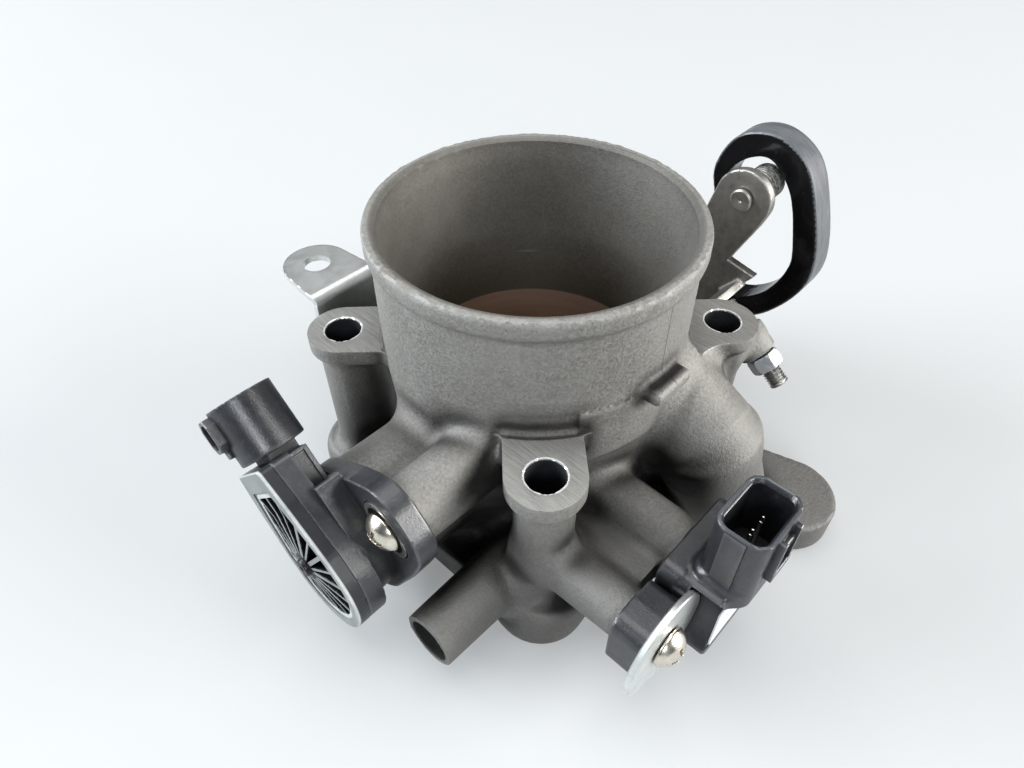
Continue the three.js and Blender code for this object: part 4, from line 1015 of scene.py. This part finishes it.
pressure = carve(
    map_parts,
    near((-20, -73, 33), (-4, -62, 52), prism(2, 34, 52, rounded(-12, SOCKET_Y, 6.9, 4.5, 2.4))),
    near((-20, -74, 48), (-4, -61, 52),
         lambda p: np.maximum(socket_flare(p[0], p[1]) - (p[2] - 50) * 0.6, 49.2 - p[2])),
    bar(1, -60, -44, MAP_PORT_X, MAP_PORT_Z, 1.4),
    bar(1, -70, -50, MAP_SCREW_X, MAP_Z, SCREW_HOLE),
    bar(1, -63.4, -80, MAP_SCREW_X, MAP_Z, 12.6),
    box(-22.8, -1.4, -72, -70.2, 13.8, 28.2),
    r=0.12,
)
sculpt("pressure_sensor", pressure, (-41, -76, 10), (1.5, -44, 50), 0.4, TEXTURED, "body",
       ["map_sensor_housing"], reach=0.6, depth=6)
label = near((-23, -71, 14), (-1, -70, 28), prism(1, -70.5, -70.1, rounded(-12.1, 21, 10.1, 6.6, 0.8), 0.1))
sculpt("blank_label", label, (-22.4, -70.6, 14.2), (-1.8, -70, 27.8), 0.17, LABEL, "body",
       ["map_sensor_label"])

for number, offset in enumerate((-3.2, 0, 3.2), 1):
    blade = box(-64.0, -62.8, 22, 32.6, offset - 0.35, offset + 0.35, 0.12)
    pin = fuse(blade, bar(1, 30, 34, BARREL_X, offset, 0.55, 0.25, 0.1))
    sculpt(f"sensor_pin_{number}", pin, (-64.2, 22, offset - 0.8), (-62.6, 34.1, offset + 0.8), 0.15, TIN, "body",
           [f"tps_terminal_{number}"], TO_TPS, TPS_AT)
for number, x in enumerate((-16, -12, -8), 1):
    blade = box(x - 0.6, x + 0.6, SOCKET_Y - 0.35, SOCKET_Y + 0.35, 31, 42.6, 0.12)
    pin = fuse(blade, bar(2, 41, 44, x, SOCKET_Y, 0.55, 0.25, 0.1))
    sculpt(f"pressure_pin_{number}", pin, (x - 0.8, SOCKET_Y - 0.8, 30.9), (x + 0.8, SOCKET_Y + 0.8, 44.1), 0.15,
           TIN, "body", [f"map_terminal_{number}"])

lathe("clamp_washer", bevelled(2.8, 12.2, 0, 1.4, 0.25), (MAP_SCREW_X, -63.7, MAP_Z), (0, -1, 0), ZINC, "body",
      ["map_washer"])
sculpt("pressure_screw", pan_head(4.6, 3.6, 2.5, 21), (-4.7, -4.7, -21.4), (4.7, 4.7, 3.7), 0.2, NICKEL, "body",
       ["map_screw"], along_axis((0, -1, 0)), (MAP_SCREW_X, -65.4, MAP_Z))

# ---- lever, pin, roller and cable ring -----------------------------------

arm = hull([(PIN_Y, PIN_Z, 7.5), (-11.5, 43, 5.2)])
hub = hull([(0, SHAFT_Z, 12), (-12, 41, 8)])
shoulder = polygon([(-28.4, 47.6), (-20.4, 37.2), (-4, 22), (-8, 52)])


def lever_outline(u, v):
    """The arm narrows to a waist above the hub."""
    whole = np.minimum(arm(u, v), np.minimum(hub(u, v), shoulder(u, v)))
    return np.maximum(whole, 9.5 - np.hypot(u + 0.3, v - 57.5))


tab_middle = along_stop(27.0) + (0, 1.7, -2.2)
stop_tab_box = box(41.8, 56, -1.1, 1.1, -5.5, 2.2, 0.4)


def stop_tab(p):
    """A flat tab square to the stop screw."""
    _, c, s = STOP_DIR
    y, z = p[1] - tab_middle[1], p[2] - tab_middle[2]
    return stop_tab_box(np.array([p[0], y * c + z * s, z * c - y * s]))


lever = carve(
    fuse(near((54, -36, 12), (58, 14, 77), prism(0, 55, 57.5, lever_outline, 0.45)), (stop_tab, 1.2)),
    on_shaft(50, 60, SHAFT_HOLE), bar(0, 50, 60, PIN_Y, PIN_Z, 2.7),
)
sculpt("lever_plate", lever, (41, -36, 12), (58, 14, 76), 0.4, STEEL, "throttle", ["throttle_lever"],
       reach=0.5)
pin_profile = [
    (0.02, 0.35), (0.45, 0.05), (0.6, 0), (2.5, 0), (2.9, 0.35), (2.9, 1.0), (2.4, 1.0), (2.4, 15), (3.1, 15),
    (3.1, 16), (0.02, 16),
]
lathe("pin", pin_profile, (53.7, PIN_Y, PIN_Z), (1, 0, 0), STEEL, "throttle", ["roller_pin"])
ridges = [(4.25 + 0.3 * abs(math.sin(math.pi * k / 6)), 0.2 + 10 * k / 60) for k in range(61)]
lathe("roller_sleeve", [(2.62, 0.3), (2.9, 0), (4.0, 0), *ridges, (3.9, 10.4), (2.9, 10.4), (2.62, 10.1)],
      (58.2, PIN_Y, PIN_Z), (1, 0, 0), GNARLED, "roller", ["roller"])


def closed_curve(points):
    """A smooth closed curve through the points, spaced by the roots of their gaps, with 8 steps to a gap."""
    pts = np.array(points, float)
    steps = np.arange(8) / 8
    out = []
    for k in range(len(pts)):
        p0, p1, p2, p3 = (pts[(k + d) % len(pts)] for d in (-1, 0, 1, 2))
        g0, g1, g2 = (math.sqrt(np.linalg.norm(b - a)) for a, b in ((p0, p1), (p1, p2), (p2, p3)))
        m1 = ((p1 - p0) / g0 - (p2 - p0) / (g0 + g1) + (p2 - p1) / g1) * g1
        m2 = ((p2 - p1) / g1 - (p3 - p1) / (g1 + g2) + (p3 - p2) / g2) * g1
        for t in steps:
            out.append((2 * t**3 - 3 * t**2 + 1) * p1 + (t**3 - 2 * t**2 + t) * m1
                       + (3 * t**2 - 2 * t**3) * p2 + (t**3 - t**2) * m2)
    return out


RING_OUTER = [(-8.3, 56), (-6.3, 68), (-11, 78), (-20, 81.2), (-29.5, 77.2), (-35.6, 66.5), (-39.6, 48), (-32, 33),
              (-18, 22.5), (-4, 14.5), (9, 17), (11, 29), (1, 42)]
RING_INNER = [(-14, 57), (-10.2, 66), (-13.4, 72), (-20.2, 75.1), (-27.2, 69.5), (-31.9, 57.6), (-33.3, 48.7),
              (-28, 37.3), (-18, 32), (-9, 38.5)]
ring_outline, loop_outline = polygon(closed_curve(RING_OUTER)), polygon(closed_curve(RING_INNER))


def outer_wall(p):
    """1 where the cable runs round the outside, and 0 elsewhere."""
    return ((loop_outline(p[1], p[2]) > 1.5) & (ring_outline(p[1], p[2]) > -0.35)).astype(float)


ring_body = carve(
    prism(0, 63.8, 72, ring_outline, 0.7), prism(0, 60, 76, loop_outline),
    on_shaft(60, 70, SHAFT_HOLE), on_shaft(60, 74, 3.3), r=0.4,
)
sculpt("ring", ring_body, (63.7, -40.2, 13), (72.1, 12.4, 81.4), 0.55, GLOSS, "throttle",
       ["cable_ring"], reach=0.8, mask=outer_wall)
lathe("spacer", bevelled(SHAFT_HOLE, 8, 0, 5.7, 0.3), (57.8, 0, SHAFT_Z), (1, 0, 0), STEEL, "throttle",
      ["lever_spacer"])
lathe("end_washer", bevelled(3.3, 7, 0, 1.2, 0.15), (72.3, 0, SHAFT_Z), (1, 0, 0), ZINC, "throttle",
      ["shaft_washer"])


def hexagon(r):
    """A hexagon with its corners at radius r."""
    def shape(u, v):
        across = [np.abs(v), np.abs(u * 0.866 + v * 0.5), np.abs(u * 0.866 - v * 0.5)]
        return np.maximum(np.maximum(across[0], across[1]), across[2]) - r * math.cos(math.pi / 6)
    return shape


def nut(r, thick, hole):
    """A hexagon nut on z = 0, with its corners turned back at both ends."""
    turned = common(bar(2, -3, thick, 0, 0, r + 2.2, r * 0.93), bar(2, 0, thick + 3, 0, 0, r * 0.93, r + 2.2))
    return carve(
        common(prism(2, 0, thick, hexagon(r)), turned),
        bar(2, -1, thick + 1, 0, 0, hole), bar(2, thick - 0.5, thick + 1, 0, 0, hole, hole + 1.5),
    )


sculpt("end_nut", nut(5.8, 4, 3.3), (-5.9, -5.9, 0), (5.9, 5.9, 4), 0.25, ZINC, "throttle", ["shaft_nut"],
       along_axis((1, 0, 0)), (73.8, 0, SHAFT_Z))

# ---- return spring and its guide -----------------------------------------

guide_profile = [
    (5.3, 0.3), (5.6, 0), (7.1, 0), (7.4, 0.3), (7.4, 11.2), (8.2, 11.9), (11.8, 12.0), (12, 12.3), (12, 12.8),
    (11.7, 13.1), (5.6, 13.1), (5.3, 12.8),
]
lathe("guide", guide_profile, (41.3, 0, SHAFT_Z), (1, 0, 0), BLACK, "body", ["spring_guide"])


def tube(name, path, radius, finish, body, nodes):
    """A round wire along a path, with flat ends."""
    sides = 14
    path = np.array(path, float)
    tangent = np.gradient(path, axis=0)
    tangent /= np.linalg.norm(tangent, axis=1)[:, None]
    side = np.cross(tangent, [1.0, 0, 0])
    side /= np.linalg.norm(side, axis=1)[:, None]
    up = np.cross(side, tangent)
    corners, faces, count = [], [], len(path)
    for p, u, v in zip(path, side, up):
        for k in range(sides):
            t = 2 * math.pi * k / sides
            corners.append(p + radius * (math.cos(t) * u + math.sin(t) * v))
    for s in range(count - 1):
        for k in range(sides):
            a, b = s * sides + k, s * sides + (k + 1) % sides
            faces.append((a, a + sides, b + sides, b))
    faces.append(tuple(range(sides)))
    faces.append(tuple(range(count * sides - 1, (count - 1) * sides - 1, -1)))
    return piece(name, corners, faces, finish, body, nodes, sharp=50)


COILS, COIL_RADIUS, COIL_STEPS = 3.5, 9.4, 240
coil = []
for k in range(COIL_STEPS + 1):
    t = k / COIL_STEPS
    angle = 2 * math.pi * COILS * t
    coil.append((43 + 8.6 * t, COIL_RADIUS * math.cos(angle), SHAFT_Z + COIL_RADIUS * math.sin(angle)))
tube("spring", coil, 0.9, STEEL, "body", ["return_spring"])

# ---- idle stop screw, in its own frame along +Z --------------------------

STOP_TURN = along_axis(STOP_DIR)
STOP_LENGTH = 25.6


def thread(p):
    """A screw of 2.5 radius whose thread starts just above its tip."""
    radius = np.hypot(p[0], p[1])
    phase = (p[2] / 0.8 - np.arctan2(p[1], p[0]) / (2 * math.pi)) % 1.0
    crest = 2.5 - 0.42 * (1 - np.abs(2 * phase - 1)) * np.clip((p[2] - 0.3) / 0.8, 0, 1)
    return np.maximum((radius - crest) * 0.75, np.maximum(-p[2], p[2] - STOP_LENGTH))


stop_screw = carve(
    common(thread, bar(2, 0, STOP_LENGTH, 0, 0, 2.5, e=0.45)), bar(2, -1, 1.6, 0, 0, 1.1, 0.9),
)
sculpt("stop_screw", stop_screw, (-2.6, -2.6, 0), (2.6, 2.6, 25.7), 0.17, BOLT, "body", ["idle_stop_screw"],
       STOP_TURN, STOP_TIP, sharp=40)
sculpt("stop_nut", nut(4.3, 4, SCREW_HOLE), (-4.4, -4.4, 0), (4.4, 4.4, 4), 0.22, PAINTED, "body",
       ["idle_stop_nut"], STOP_TURN, along_stop(5.2))

# ---- rear bracket --------------------------------------------------------

TAB_HOLE = (-23.2, 55)
tab = hull([(*TAB_HOLE, 8.6), (-31.4, 44, 1.2), (-14.8, 44, 1.2)])
tab = near((-33, 42, 50), (-14, 64, 53), prism(2, 50.9, 52.5, tab, 0.2))
wall = hull([(-30.6, 49.5, 2), (-15.6, 49.5, 2), (-26, 20, 6), (-18, 20, 6)])
wall = near((-33, 42, 13), (-13, 45, 53), prism(1, 42.6, 44.2, wall, 0.2))


def bend(p):
    """Rounds the outside of the fold between the two."""
    return corner(42.6 - p[1], p[2] - 52.5, 2.4)


bracket = carve(
    common(fuse(tab, (wall, 0.9)), bend),
    bar(2, 40, 60, *TAB_HOLE, 3.5), *[bar(1, 40, 48, x, BRACKET_SCREWS_Z, 2.3) for x in BRACKET_SCREWS_X],
)
sculpt("bracket", bracket, (-33, 42.4, 13.5), (-13.5, 64, 52.6), 0.33, ZINC, "body", ["rear_bracket"], reach=0.5)
for number, x in enumerate(BRACKET_SCREWS_X, 1):
    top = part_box(f"bracket_screw_{number}")[1].y / MM - BORE[1] / MM
    sculpt(f"bracket_fixing_{number}", pan_head(3.4, 2.3, 2.0, 10.5), (-3.6, -3.6, -10.6), (3.6, 3.6, 2.4), 0.2,
           NICKEL, "body", [f"bracket_screw_{number}"], along_axis((0, 1, 0)), (x, top - 2.3, BRACKET_SCREWS_Z))

# ---- plug of the blind tube ----------------------------------------------

PLUG_X = (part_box("passage_plug")[0].x - BORE[0]) / MM
cup = carve(
    bar(0, PLUG_X, PLUG_X + 2, TUBE_Y, TUBE_Z, 4.85, e=0.3), ball((PLUG_X - 9.4, TUBE_Y, TUBE_Z), 9.9), r=0.2,
)
sculpt("plug", cup, (PLUG_X, -31, 8), (PLUG_X + 2, -21, 18.2), 0.25, SEALANT, "body", ["passage_plug"])

# ---- looks of the CAD nodes that stay ------------------------------------

LOOKS = {slot: material for material, slot in (CAST, BLACK, GLOSS, STEEL, ZINC, NICKEL, BRASS, RUBBER, TIN)}
LOOKS["label"] = BLACK[0]
for part in frame["record"]["subparts"]:
    stays = frame["nodes"][part["node"]]
    stays.data.materials.clear()
    stays.data.materials.append(LOOKS[part["material_slot"]])

# ---- camera, light and floor ---------------------------------------------

EYE = np.array([-99.73, -87.21, 159.96])
YAW, PITCH, ROLL = math.radians(43.48), math.radians(44.73), math.radians(-0.29)
LENS_MM = 25.01

forward = np.array([math.cos(YAW) * math.cos(PITCH), math.sin(YAW) * math.cos(PITCH), -math.sin(PITCH)])
level_right = np.array([math.sin(YAW), -math.cos(YAW), 0.0])
level_up = np.cross(level_right, forward)
cam_right = level_right * math.cos(ROLL) + level_up * math.sin(ROLL)
cam_up = -level_right * math.sin(ROLL) + level_up * math.cos(ROLL)
camera = bpy.data.objects.new("camera", bpy.data.cameras.new("camera"))
bpy.context.scene.collection.objects.link(camera)
camera.data.lens = LENS_MM
camera.data.clip_start = 0.005
axes = np.array([cam_right, cam_up, -forward]).T
camera.matrix_world = Matrix.Translation(Vector(EYE * MM + BORE)) @ Matrix(axes.tolist()).to_4x4()
bpy.context.scene.camera = camera


def lamp(name, where, target, size, watts, colour):
    light = bpy.data.lights.new(name, "AREA")
    light.shape = "RECTANGLE"
    light.size, light.size_y = size
    light.energy = watts
    light.color = colour
    obj = bpy.data.objects.new(name, light)
    bpy.context.scene.collection.objects.link(obj)
    obj.location = where
    obj.rotation_euler = (Vector(target) - Vector(where)).to_track_quat("-Z", "Y").to_euler()


for name, where, size, watts, colour in (
    ("softbox_left", (-1.15, 1.35, 0.85), (1.4, 1.1), 53.0, (0.90, 0.95, 1.0)),
    ("softbox_right", (1.02, -1.46, 0.72), (1.3, 1.0), 44.0, (1.0, 0.99, 0.97)),
    ("softbox_top", (0.1, 0.35, 2.0), (1.8, 1.8), 26.0, (1, 1, 1)),
    ("softbox_front", (-1.02, -0.98, 0.90), (0.38, 0.5), 9.5, (0.92, 0.96, 1.0)),
):
    lamp(name, where, (0, 0, 0.04), size, watts, colour)

ROOM_LIGHT, ROOM_SEEN = 0.10, 0.62
world = bpy.data.worlds.new("studio")
bpy.context.scene.world = world
world.use_nodes = True
background = world.node_tree.nodes["Background"]
background.inputs["Color"].default_value = (0.93, 0.965, 1.0, 1)
# The room gives little light of its own, but shows as pale as the floor where it is seen directly.
rays = world.node_tree.nodes.new("ShaderNodeLightPath")
shown = world.node_tree.nodes.new("ShaderNodeMapRange")
shown.inputs["To Min"].default_value = ROOM_LIGHT
shown.inputs["To Max"].default_value = ROOM_SEEN
world.node_tree.links.new(rays.outputs["Is Camera Ray"], shown.inputs["Value"])
world.node_tree.links.new(shown.outputs[0], background.inputs["Strength"])

FLOOR_HALF, FLOOR_Z = 2.5, -0.0003
floor_mesh = bpy.data.meshes.new("floor")
floor_mesh.from_pydata([(sx * FLOOR_HALF, sy * FLOOR_HALF, FLOOR_Z) for sx, sy in CORNERS], [], [(0, 1, 2, 3)])
floor = bpy.data.objects.new("floor", floor_mesh)
bpy.context.scene.collection.objects.link(floor)
paper = Shader("paper")
paper.set(Base_Color=paper.mix(paper.noise(60, 3), (0.315, 0.325, 0.33), (0.33, 0.335, 0.335)), Roughness=0.8)
paper.set(Emission_Color=(0.955, 0.985, 1.0), Emission_Strength=0.23)
floor_mesh.materials.append(paper.material)
bpy.context.scene.view_settings.view_transform = "Standard"
bpy.context.scene.view_settings.look = "Medium High Contrast"

bpy.context.view_layer.update()
